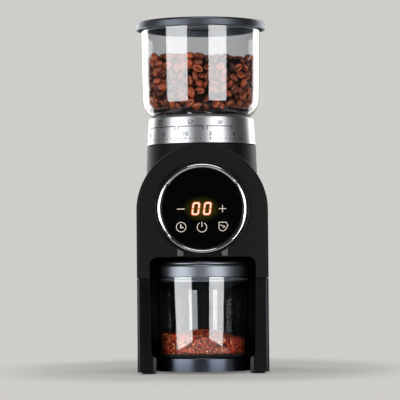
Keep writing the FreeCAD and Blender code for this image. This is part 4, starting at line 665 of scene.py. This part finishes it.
class GRINDER_OT_grounds(bpy.types.Operator):
    """Heap ground coffee in the cup, with loose granules on it"""
    bl_idname = "grinder.grounds"
    bl_label = "Ground coffee"

    LOOSE = 1700  # granules that lie on the heap or at the wall

    def execute(self, context):
        size = context.scene.grinder_sizes
        draw = np.random.default_rng(SEED + 1)
        around, rings, rows = 160, 44, 18
        floor = next(z for z in np.arange(CUP_LOW.z, CUP_HIGH.z, 0.1 * MM)
                     if self.hollow_from(z)) + 0.3 * MM
        turn = 2 * math.pi * np.arange(around) / around
        rim = wall_at("grounds_cup", CUP_Y, size.heap_left) - 0.3 * MM

        def top(x, y):
            """Smooth height of the heap."""
            share = min(math.hypot(x, y) / rim, 1.0)
            edge = (size.heap_left + size.heap_right) / 2 + (size.heap_right - size.heap_left) / 2 * x / rim
            return edge + (size.heap_middle - edge) * (0.5 + 0.5 * math.cos(math.pi * share))

        lumps = draw.normal(0, 0.16 * MM, (rings + rows, around))
        points = [(0.0, CUP_Y, top(0, 0))]
        for j in range(1, rings + 1):
            for k in range(around):
                r = rim * j / rings
                x, y = r * math.sin(turn[k]), r * math.cos(turn[k])
                points.append((x, CUP_Y + y, top(x, y) + lumps[j - 1, k]))
        for j in range(1, rows + 1):
            for k in range(around):
                edge = top(rim * math.sin(turn[k]), rim * math.cos(turn[k]))
                z = edge + (floor - edge) * j / rows
                r = wall_at("grounds_cup", CUP_Y, max(z, floor)) - 0.3 * MM - abs(lumps[rings + j - 1, k])
                points.append((r * math.sin(turn[k]), CUP_Y + r * math.cos(turn[k]), z))
        points.append((0.0, CUP_Y, floor))
        last, stages = len(points) - 1, rings + rows
        starts = [1 + j * around for j in range(stages - 1)]
        faces = []
        for k in range(around):
            n = (k + 1) % around
            faces.append((0, 1 + n, 1 + k))
            faces += [(s + k, s + n, s + around + n, s + around + k) for s in starts]
            faces.append((last, 1 + (stages - 1) * around + k, 1 + (stages - 1) * around + n))
        bead = bmesh.new()
        bmesh.ops.create_icosphere(bead, subdivisions=1, radius=0.5)
        knob = np.array([v.co for v in bead.verts])
        sides = [[v.index for v in f.verts] for f in bead.faces]
        bead.free()
        for i in range(self.LOOSE):
            wide = size.granule * draw.uniform(0.45, 1.0)
            way = 2 * math.pi * draw.random()
            lump = knob * wide * draw.uniform(0.6, 1.0, (len(knob), 3))
            if i % 2:
                r = (rim - 0.8 * MM) * math.sqrt(draw.random())
                z = top(r * math.sin(way), r * math.cos(way)) + 0.15 * wide
            else:
                edge = top(rim * math.sin(way), rim * math.cos(way))
                z = floor + 1.5 * MM + (edge - floor - 2.5 * MM) * draw.random()
                r = wall_at("grounds_cup", CUP_Y, z) - 0.35 * MM - 0.5 * wide
            first = len(points)
            points += (lump + (r * math.sin(way), CUP_Y + r * math.cos(way), z)).tolist()
            faces += [tuple(first + k for k in face) for face in sides]
        finish = self.ground(context.scene.grinder_colours)
        outward(piece("ground_coffee", points, faces, finish, "cup", True))
        return {"FINISHED"}

    def hollow_from(self, height):
        """True where the cup's axis is in open air at a height."""
        found, place, _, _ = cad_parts["grounds_cup"].ray_cast((0, CUP_Y, height), (0, 0, -1))
        return found and height - place.z < 0.2 * MM and wall_at("grounds_cup", CUP_Y, height) > 20 * MM

    def ground(self, hue):
        """Ground coffee: red-brown granules of many tones, drawn at 1.3 mm so that single ones show."""
        nodes, place = start("Ground coffee")
        cells = nodes.add("TexVoronoi", {"Scale": 1 / (1.3 * MM), "Vector": place})
        pick = nodes.add("SeparateColor", {0: cells["Color"]})
        stops = [(0.0, tint(hue.grounds, 0.02)), (0.38, tint(hue.grounds, 0.10)), (0.56, hue.grounds[:]),
                 (0.80, tint(hue.grounds, 1.6)), (0.90, linear("#e2702c")), (1.0, linear("#ffb878"))]
        return nodes.end(nodes.shader({
            "Specular IOR Level": 0.2,
            "Base Color": nodes.add("ValToRGB", {"stops": stops, 0: pick[0]})[0],
            "Roughness": nodes.fit(pick[1], 0.5, 0.85),
            "Normal": nodes.bump(cells["Distance"], 0.9, 0.5 * MM, invert=True)}))


# Markings

def on_panel(u, v, height):
    """Point that far right, up and in front of the touch glass."""
    return (u, hit("touch_glass", (u, -1.0, PANEL_Z + v), (0, 1, 0)).y - height, PANEL_Z + v)


def ring_radius(height):
    """Outside radius of the adjuster ring at a height."""
    return -hit("adjuster_sleeve", (0, -1.0, height), (0, 1, 0)).y


class GRINDER_OT_scale(bpy.types.Operator):
    """Print the grind scale round the adjuster ring"""
    bl_idname = "grinder.scale"
    bl_label = "Grind scale"

    ZERO = 36.6  # degrees to the right of the front
    STEP = 5.4  # degrees per setting
    SETTINGS = 35
    ZONES = ((4.9, 35.2, 1.0), (-26.7, 2.5, 1.35), (-72.7, -28.3, 1.7))  # from, to, size of the cup sign
    ZONE_INSET = 1.0  # degrees that a bracket stands in from its zone's ends
    # Heights above the ring's foot, in millimetres
    TICK_UP, NUMERAL_UP = 4.4, 7.4
    ZONE_FOOT, ZONE_TOP, CUP_UP = 13.4, 17.1, 19.2

    def execute(self, context):
        size = context.scene.grinder_sizes
        foot, thick = RING_FOOT, size.print_height
        low, high = ring_radius(foot + 2 * MM), ring_radius(foot + 22 * MM)

        def wrap(u, v, height):
            """Point on the ring at an arc of u degrees and v metres above its foot."""
            r = low + (high - low) * (v - 2 * MM) / (20 * MM) + height
            return (r * math.sin(math.radians(u)), -r * math.cos(math.radians(u)), foot + v)

        degree = 1 / (math.radians(1) * (low + high) / 2)
        lines = []
        for i in range(self.SETTINGS + 1):
            u = self.ZERO - self.STEP * i
            tall, wide = (2.8, 0.9) if i % 5 == 0 else (1.0, 1.0)
            ends = [(u, (self.TICK_UP + side * tall / 2) * MM) for side in (-1, 1)]
            lines.append(band(ends, wide * MM * degree))
        points, faces = raise_bands(lines, -0.02 * MM, thick, wrap)
        self.add_flat(points, faces, wrap, degree, thick)
        for first, last, cup in self.ZONES:
            left, right = first + self.ZONE_INSET, last - self.ZONE_INSET
            along = [(u, self.ZONE_TOP * MM) for u in np.linspace(left, right, 24)]
            path = [(left, self.ZONE_FOOT * MM)] + along + [(right, self.ZONE_FOOT * MM)]
            self.add_path(points, faces, path, 0.85 * MM, wrap, degree, thick)
            self.add_cup(points, faces, (first + last) / 2, self.CUP_UP * MM, cup * MM, wrap, degree, thick)
        self.add_numerals(points, faces, size.numeral_height, wrap, degree, thick)
        outward(piece("scale_marks", points, faces, self.ink(context.scene.grinder_colours), "adjuster"))
        return {"FINISHED"}

    def add_path(self, points, faces, path, width, wrap, degree, thick, closed=False):
        """Add a line whose points are in degrees and metres, with the same width all along."""
        flat = [(u / degree, v) for u, v in path]
        left, right, shut = band(flat, width, closed)
        bars = [(left * (degree, 1.0), right * (degree, 1.0), shut)]
        more, sides = raise_bands(bars, -0.02 * MM, thick, wrap)
        faces += [tuple(len(points) + k for k in face) for face in sides]
        points += more

    def add_cup(self, points, faces, middle, foot, unit, wrap, degree, thick):
        """Add a small cup sign: bowl, handle and saucer, unit being about a quarter of its width."""
        bowl = [(-1.5, 2.2), (-1.2, 0.6), (-0.7, 0.2), (0.7, 0.2), (1.2, 0.6), (1.5, 2.2)]
        handle = [(1.45, 1.9), (2.2, 1.8), (2.2, 1.1), (1.3, 0.8)]
        for path, shut in ((bowl, True), (handle, False), ([(-1.9, -0.5), (1.9, -0.5)], False)):
            spots = [(middle + u * unit * degree, foot + (v + 0.8) * unit) for u, v in path]
            self.add_path(points, faces, spots, 0.55 * MM, wrap, degree, thick, shut)

    def add_flat(self, points, faces, wrap, degree, thick):
        """Add the small cluster of dots beside zero, a bean size sign."""
        for du, dv in ((0, 0), (1.3, 0.9), (1.3, -0.9), (2.6, 0), (3.9, 0.9), (3.9, -0.9)):
            path = [(44.0 + a * degree * MM + du, self.TICK_UP * MM + dv * MM + b * MM)
                    for a, b in arc((0, 0), 0.28, 0, 315, 8)]
            self.add_path(points, faces, path, 0.4 * MM, wrap, degree, thick, True)

    def add_numerals(self, points, faces, tall, wrap, degree, thick):
        """Add the numerals 0 to 35, from Blender's own letter shapes."""
        for i in range(0, self.SETTINGS + 1, 5):
            text = bpy.data.curves.new("numeral", "FONT")
            text.body = str(i)
            text.align_x = "CENTER"
            text.size = tall / 0.7
            text.offset = 0.09 * MM
            text.resolution_u = 4
            text.extrude = thick / 2
            carrier = bpy.data.objects.new("numeral", text)
            bpy.context.scene.collection.objects.link(carrier)
            bpy.context.view_layer.update()
            graph = bpy.context.evaluated_depsgraph_get()
            shape = bpy.data.meshes.new_from_object(carrier.evaluated_get(graph))
            first, u = len(points), self.ZERO - self.STEP * i
            up, out = self.NUMERAL_UP * MM, thick / 2 - 0.01 * MM
            points += [wrap(u + v.co.x * degree, up + v.co.y, out + v.co.z) for v in shape.vertices]
            faces += [tuple(first + k for k in face.vertices) for face in shape.polygons]
            bpy.data.meshes.remove(shape)
            bpy.data.objects.remove(carrier)
            bpy.data.curves.remove(text)

    def ink(self, hue):
        """Pad-printing ink: dark, flat and slightly uneven in cover."""
        return grained("Pad-printing ink", hue.ink, 0.3 * MM, 0.01 * MM, 0.55, 0.3)


class GRINDER_OT_display(bpy.types.Operator):
    """Light the digits and touch icons on the glass"""
    bl_idname = "grinder.display"
    bl_label = "Digits and touch icons"

    SLANT = math.tan(math.radians(7.6))
    DIGITS = ((-6.35, -0.4), (5.15, -0.4))  # middle of each digit, mm right and up from the panel's middle

    def execute(self, context):
        size = context.scene.grinder_sizes
        hue = context.scene.grinder_colours
        thick = size.print_height
        # Painted glow: the halo and fringe are glowing sheets round each digit that stand in for the light
        # the digits spread
        for name, grow, low, high, colour, strength in (
                ("digit_halo", 2.5 * MM, -0.02 * MM, 0.3 * thick, hue.halo, 1.0),
                ("digit_fringe", 1.2 * MM, -0.01 * MM, 0.6 * thick, hue.fringe, 1.0),
                ("digit_light", 0.0, 0.0, thick, hue.digit, 1.2)):
            bars = [half for at in self.DIGITS for half in self.zero(at, size, grow)]
            light = lit("Lit diffuser " + name.replace("_", " "), colour, strength)
            made = piece(name, *raise_bands(bars, low, high, on_panel), light, "housing")
            outward(made)
        bars = self.minus_plus(size) + self.clock(size) + self.power(size) + self.cup(size)
        made = piece("touch_icons", *raise_bands(bars, -0.02 * MM, thick, on_panel),
                     lit("Lit diffuser touch icons", hue.icon, 1.0), "housing")
        outward(made)
        return {"FINISHED"}

    def zero(self, at, size, grow):
        """Upper and lower half of a slanted nought, with a gap between them."""
        wide, tall = (size.digit_width - size.digit_stroke) / 2, (size.digit_height - size.digit_stroke) / 2
        gap, corner = max(0.55 * MM - grow / 2, 0.04 * MM), 1.1 * MM
        middle = (at[0] * MM, at[1] * MM)
        halves = []
        for s in (-1, 1):
            path = [(-wide, s * gap), (-wide, s * (tall - corner)), (-wide + corner, s * tall),
                    (wide - corner, s * tall), (wide, s * (tall - corner)), (wide, s * gap)]
            left, right, closed = band(path, size.digit_stroke + grow)
            upright = np.array([(1.0, 0.0), (self.SLANT, 1.0)])
            halves.append((left @ upright + middle, right @ upright + middle, closed))
        return halves

    def minus_plus(self, size):
        """Signs on the left and right of the digits."""
        wide = size.icon_stroke
        return [band([(-25.2 * MM, -0.7 * MM), (-17.6 * MM, -0.7 * MM)], wide + 0.15 * MM),
                band([(16.6 * MM, -0.6 * MM), (24.0 * MM, -0.6 * MM)], wide),
                band([(20.3 * MM, -4.2 * MM), (20.3 * MM, 3.0 * MM)], wide)]

    def clock(self, size):
        """Timer sign: a ring with two hands."""
        at, r = (-21.2 * MM, -18.7 * MM), size.icon_radius - size.icon_stroke / 2
        hands = [(at[0] + u * r, at[1] + v * r) for u, v in ((-0.08, 0.55), (-0.08, -0.1), (0.48, -0.1))]
        return [band(arc(at, r, 0, 350, 36), size.icon_stroke, True), band(hands, size.icon_stroke * 1.7)]

    def power(self, size):
        """Power sign: an open ring with a bar in its gap."""
        at, r = (-0.4 * MM, -19.0 * MM), size.icon_radius - size.icon_stroke / 2
        return [band(arc(at, r, 118, 422, 34), size.icon_stroke),
                band([(at[0], at[1] + 0.05 * r), (at[0], at[1] + 1.12 * r)], size.icon_stroke * 1.15)]

    def cup(self, size):
        """Jug sign: a jug with a flat rim, a pointed lip and a round foot, and a loop of coffee in it."""
        at, wide = (20.7 * MM, -18.2 * MM), size.icon_stroke
        foot = arc((-0.5, -1.0), 3.6, -30, -170, 9)
        jug = [(-4.0, 4.0), (3.2, 4.0), (4.9, 0.8), (2.9, -2.6)] + foot + [(-4.2, 2.6)]
        steam = [(-3.4, 0.3), (-2.0, 1.6), (-0.6, 0.3)]
        drop = arc((0.7, -0.3), 1.1, 0, 315, 8)
        bars = []
        for path, line, shut in ((jug, wide, True), (steam, 0.7 * wide, False), (drop, 0.7 * wide, True)):
            bars.append(band([(at[0] + u * MM, at[1] + v * MM) for u, v in path], line, shut))
        return bars


# Stage

class GRINDER_OT_stage(bpy.types.Operator):
    """Set the backdrop, the lamps and the camera"""
    bl_idname = "grinder.stage"
    bl_label = "Studio"

    # Name, degrees to the right of the front, degrees up, distance, width and height in metres
    FRONT_LAMPS = (("left_softbox", -48.0, 0.0, 1.25, 1.00, 0.62),
                   ("right_softbox", 32.5, 0.0, 1.25, 0.80, 0.62))
    TOP_LAMPS = (("top_softbox", 6.0, 56.0, 1.25, 0.80, 0.45),)
    REAR_LAMPS = (("rear_left_softbox", -143.0, 8.0, 1.1, 0.75, 1.2),
                  ("rear_right_softbox", 138.0, 8.0, 1.1, 0.6, 1.2))
    LAMP_AIM = 0.16  # height that the lamps face
    PAPER_MIDDLE = 0.05  # behind the grinder's axis
    # A small oval, so that the low lamps show in the cup's wall
    PAPER_HALF_WIDTH, PAPER_HALF_DEPTH = 0.26, 0.42
    PAPER_FADE = 0.55  # share of the paper's reach where it starts to pass into the backdrop
    PAPER_VEIL = 0.3  # share of the backdrop's tone that the camera sees over the whole paper
    EYE_RIGHT, EYE_BACK, EYE_UP = -2.1 * MM, -2.501, 97.6 * MM  # camera's place
    AIM_UP = 174 * MM  # height on the body's front at the middle of the picture
    LENS = 216.9  # millimetres
    ROLL = -0.49  # degrees

    def execute(self, context):
        size = context.scene.grinder_sizes
        hue = context.scene.grinder_colours
        self.paper(hue)
        self.room(context.scene, hue, size.sky_level)
        for lamps, level in ((self.FRONT_LAMPS, size.lamp_level), (self.TOP_LAMPS, size.top_level),
                             (self.REAR_LAMPS, size.rim_level)):
            for lamp in lamps:
                self.lamp(*lamp, level)
        self.camera(context.scene)
        context.scene.view_settings.view_transform = "Standard"
        return {"FINISHED"}

    def paper(self, hue):
        """Oval sheet of paper under the grinder."""
        rings, around = 12, 96
        points = [(0.0, self.PAPER_MIDDLE, 0.0)]
        for j in range(1, rings + 1):
            for u, v in arc((0, 0), j / rings, 0, 360 - 360 / around, around):
                points.append((u * self.PAPER_HALF_WIDTH, self.PAPER_MIDDLE + v * self.PAPER_HALF_DEPTH, 0.0))
        faces = [(0, 1 + k, 1 + (k + 1) % around) for k in range(around)]
        for j in range(rings - 1):
            inner, outer = 1 + j * around, 1 + (j + 1) * around
            faces += [(inner + k, outer + k, outer + (k + 1) % around, inner + (k + 1) % around)
                      for k in range(around)]
        piece("paper_floor", points, faces, self.paper_finish(hue), None, True)

    def paper_finish(self, hue):
        """Seamless paper: pale and matt with a faint fibre cloud, and lost in the backdrop at its edge."""
        nodes, place = start("Seamless paper")
        shade = nodes.mix(nodes.noise(place, 3 * MM, 4.0), tint(hue.paper, 0.97), hue.paper[:])
        sheet = nodes.shader({"Roughness": 0.9, "Specular IOR Level": 0.1, "Base Color": shade})
        beyond = nodes.add("Emission", {"Color": hue.backdrop})[0]
        middle = nodes.vector("SUBTRACT", place, (0.0, self.PAPER_MIDDLE, 0.0))
        oval = nodes.vector("MULTIPLY", middle, (1 / self.PAPER_HALF_WIDTH, 1 / self.PAPER_HALF_DEPTH, 0.0))
        fade = nodes.fit(nodes.vector("LENGTH", oval), self.PAPER_VEIL, 1.0, self.PAPER_FADE, 0.985,
                         interpolation_type="SMOOTHSTEP")
        direct, _ = self.sight(nodes)
        share = nodes.maths("MULTIPLY", fade, direct)
        return nodes.end(nodes.add("MixShader", {0: share, 1: sheet, 2: beyond})[0])

    def sight(self, nodes):
        """Shares of rays that the camera sends straight or through clear plastic, and of mirrored ones."""
        ray = nodes.add("LightPath")
        passing = ray["Is Transmission Ray"]
        bounced = nodes.maths("GREATER_THAN", ray["Glossy Depth"], 0.5)
        mirrored = nodes.maths("MAXIMUM", ray["Is Glossy Ray"], nodes.maths("MULTIPLY", passing, bounced))
        through = nodes.maths("SUBTRACT", passing, bounced, clamp=True)
        return nodes.maths("MAXIMUM", ray["Is Camera Ray"], through), mirrored

    def room(self, scene, hue, level):
        """Dim studio, with a pale backdrop that the camera, clear plastic and rearward gloss see."""
        nodes = Nodes(bpy.data.worlds.new("Studio room"))
        dim = nodes.add("Background", {"Color": linear("#f2f4f8"), "Strength": level})[0]
        pale = nodes.add("Background", {"Color": hue.backdrop, "Strength": 1.0})[0]
        rearward = nodes.add("SeparateXYZ", {0: nodes.add("TexCoord")["Generated"]})[1]
        direct, mirrored = self.sight(nodes)
        gloss = nodes.maths("MULTIPLY", mirrored, nodes.fit(rearward, 0.0, 1.0, 0.5, 0.9))
        seen = nodes.maths("MAXIMUM", gloss, direct)
        mixed = nodes.add("MixShader", {0: seen, 1: dim, 2: pale})[0]
        nodes.add("OutputWorld", {"Surface": mixed})
        scene.world = nodes.owner

    def lamp(self, name, right, up, distance, wide, tall, level):
        """Rectangular lamp that faces the grinder's middle, as bright as level all over."""
        light = bpy.data.lights.new(name, "AREA")
        light.shape = "RECTANGLE"
        light.size, light.size_y = wide, tall
        light.energy = level * math.pi * wide * tall
        made = bpy.data.objects.new(name, light)
        turn, rise = math.radians(right), math.radians(up)
        away = Vector((math.sin(turn) * math.cos(rise), -math.cos(turn) * math.cos(rise), math.sin(rise)))
        made.location = Vector((0.0, 0.0, self.LAMP_AIM)) + away * distance
        made.rotation_euler = (math.pi / 2 - rise, 0.0, turn)
        made.visible_camera = False
        bpy.context.scene.collection.objects.link(made)

    def camera(self, scene):
        """Camera at the photograph's viewing angle: low, level and far away."""
        eye = Vector((self.EYE_RIGHT, self.EYE_BACK, self.EYE_UP))
        aim = Vector((self.EYE_RIGHT, BODY_FRONT, self.AIM_UP))
        lens = bpy.data.cameras.new("photo_camera")
        lens.sensor_width = 36.0
        lens.lens = self.LENS
        made = bpy.data.objects.new("photo_camera", lens)
        made.location = eye
        look = (aim - eye).to_track_quat("-Z", "Y").to_matrix().to_4x4()
        look = look @ Matrix.Rotation(math.radians(self.ROLL), 4, "Z")
        made.rotation_euler = look.to_euler()
        scene.collection.objects.link(made)
        scene.camera = made


# Panel and registration

STEPS = (GRINDER_OT_housing, GRINDER_OT_metal, GRINDER_OT_clear, GRINDER_OT_works, GRINDER_OT_beans,
         GRINDER_OT_grounds, GRINDER_OT_scale, GRINDER_OT_display, GRINDER_OT_stage)


class GRINDER_PT_panel(bpy.types.Panel):
    """Sidebar panel with the grinder's steps, colours and sizes"""
    bl_idname = "GRINDER_PT_panel"
    bl_label = "Coffee grinder"
    bl_space_type = "VIEW_3D"
    bl_region_type = "UI"
    bl_category = "Grinder"

    def draw(self, context):
        for step in STEPS:
            self.layout.operator(step.bl_idname)
        for group in (context.scene.grinder_colours, context.scene.grinder_sizes):
            box = self.layout.box()
            for name in type(group).__annotations__:
                box.prop(group, name)


CLASSES = (GrinderColours, GrinderSizes, *STEPS, GRINDER_PT_panel)


def register():
    """Register the classes and hang the property groups on the scene."""
    for kind in CLASSES:
        bpy.utils.register_class(kind)
    bpy.types.Scene.grinder_colours = bpy.props.PointerProperty(type=GrinderColours)
    bpy.types.Scene.grinder_sizes = bpy.props.PointerProperty(type=GrinderSizes)


def unregister():
    """Undo register."""
    del bpy.types.Scene.grinder_sizes
    del bpy.types.Scene.grinder_colours
    for kind in reversed(CLASSES):
        bpy.utils.unregister_class(kind)


def main():
    """Register the classes and run every step in order."""
    register()
    bpy.ops.grinder.housing()
    bpy.ops.grinder.metal()
    bpy.ops.grinder.clear()
    bpy.ops.grinder.works()
    bpy.ops.grinder.beans()
    bpy.ops.grinder.grounds()
    bpy.ops.grinder.scale()
    bpy.ops.grinder.display()
    bpy.ops.grinder.stage()


if __name__ == "__main__":
    main()
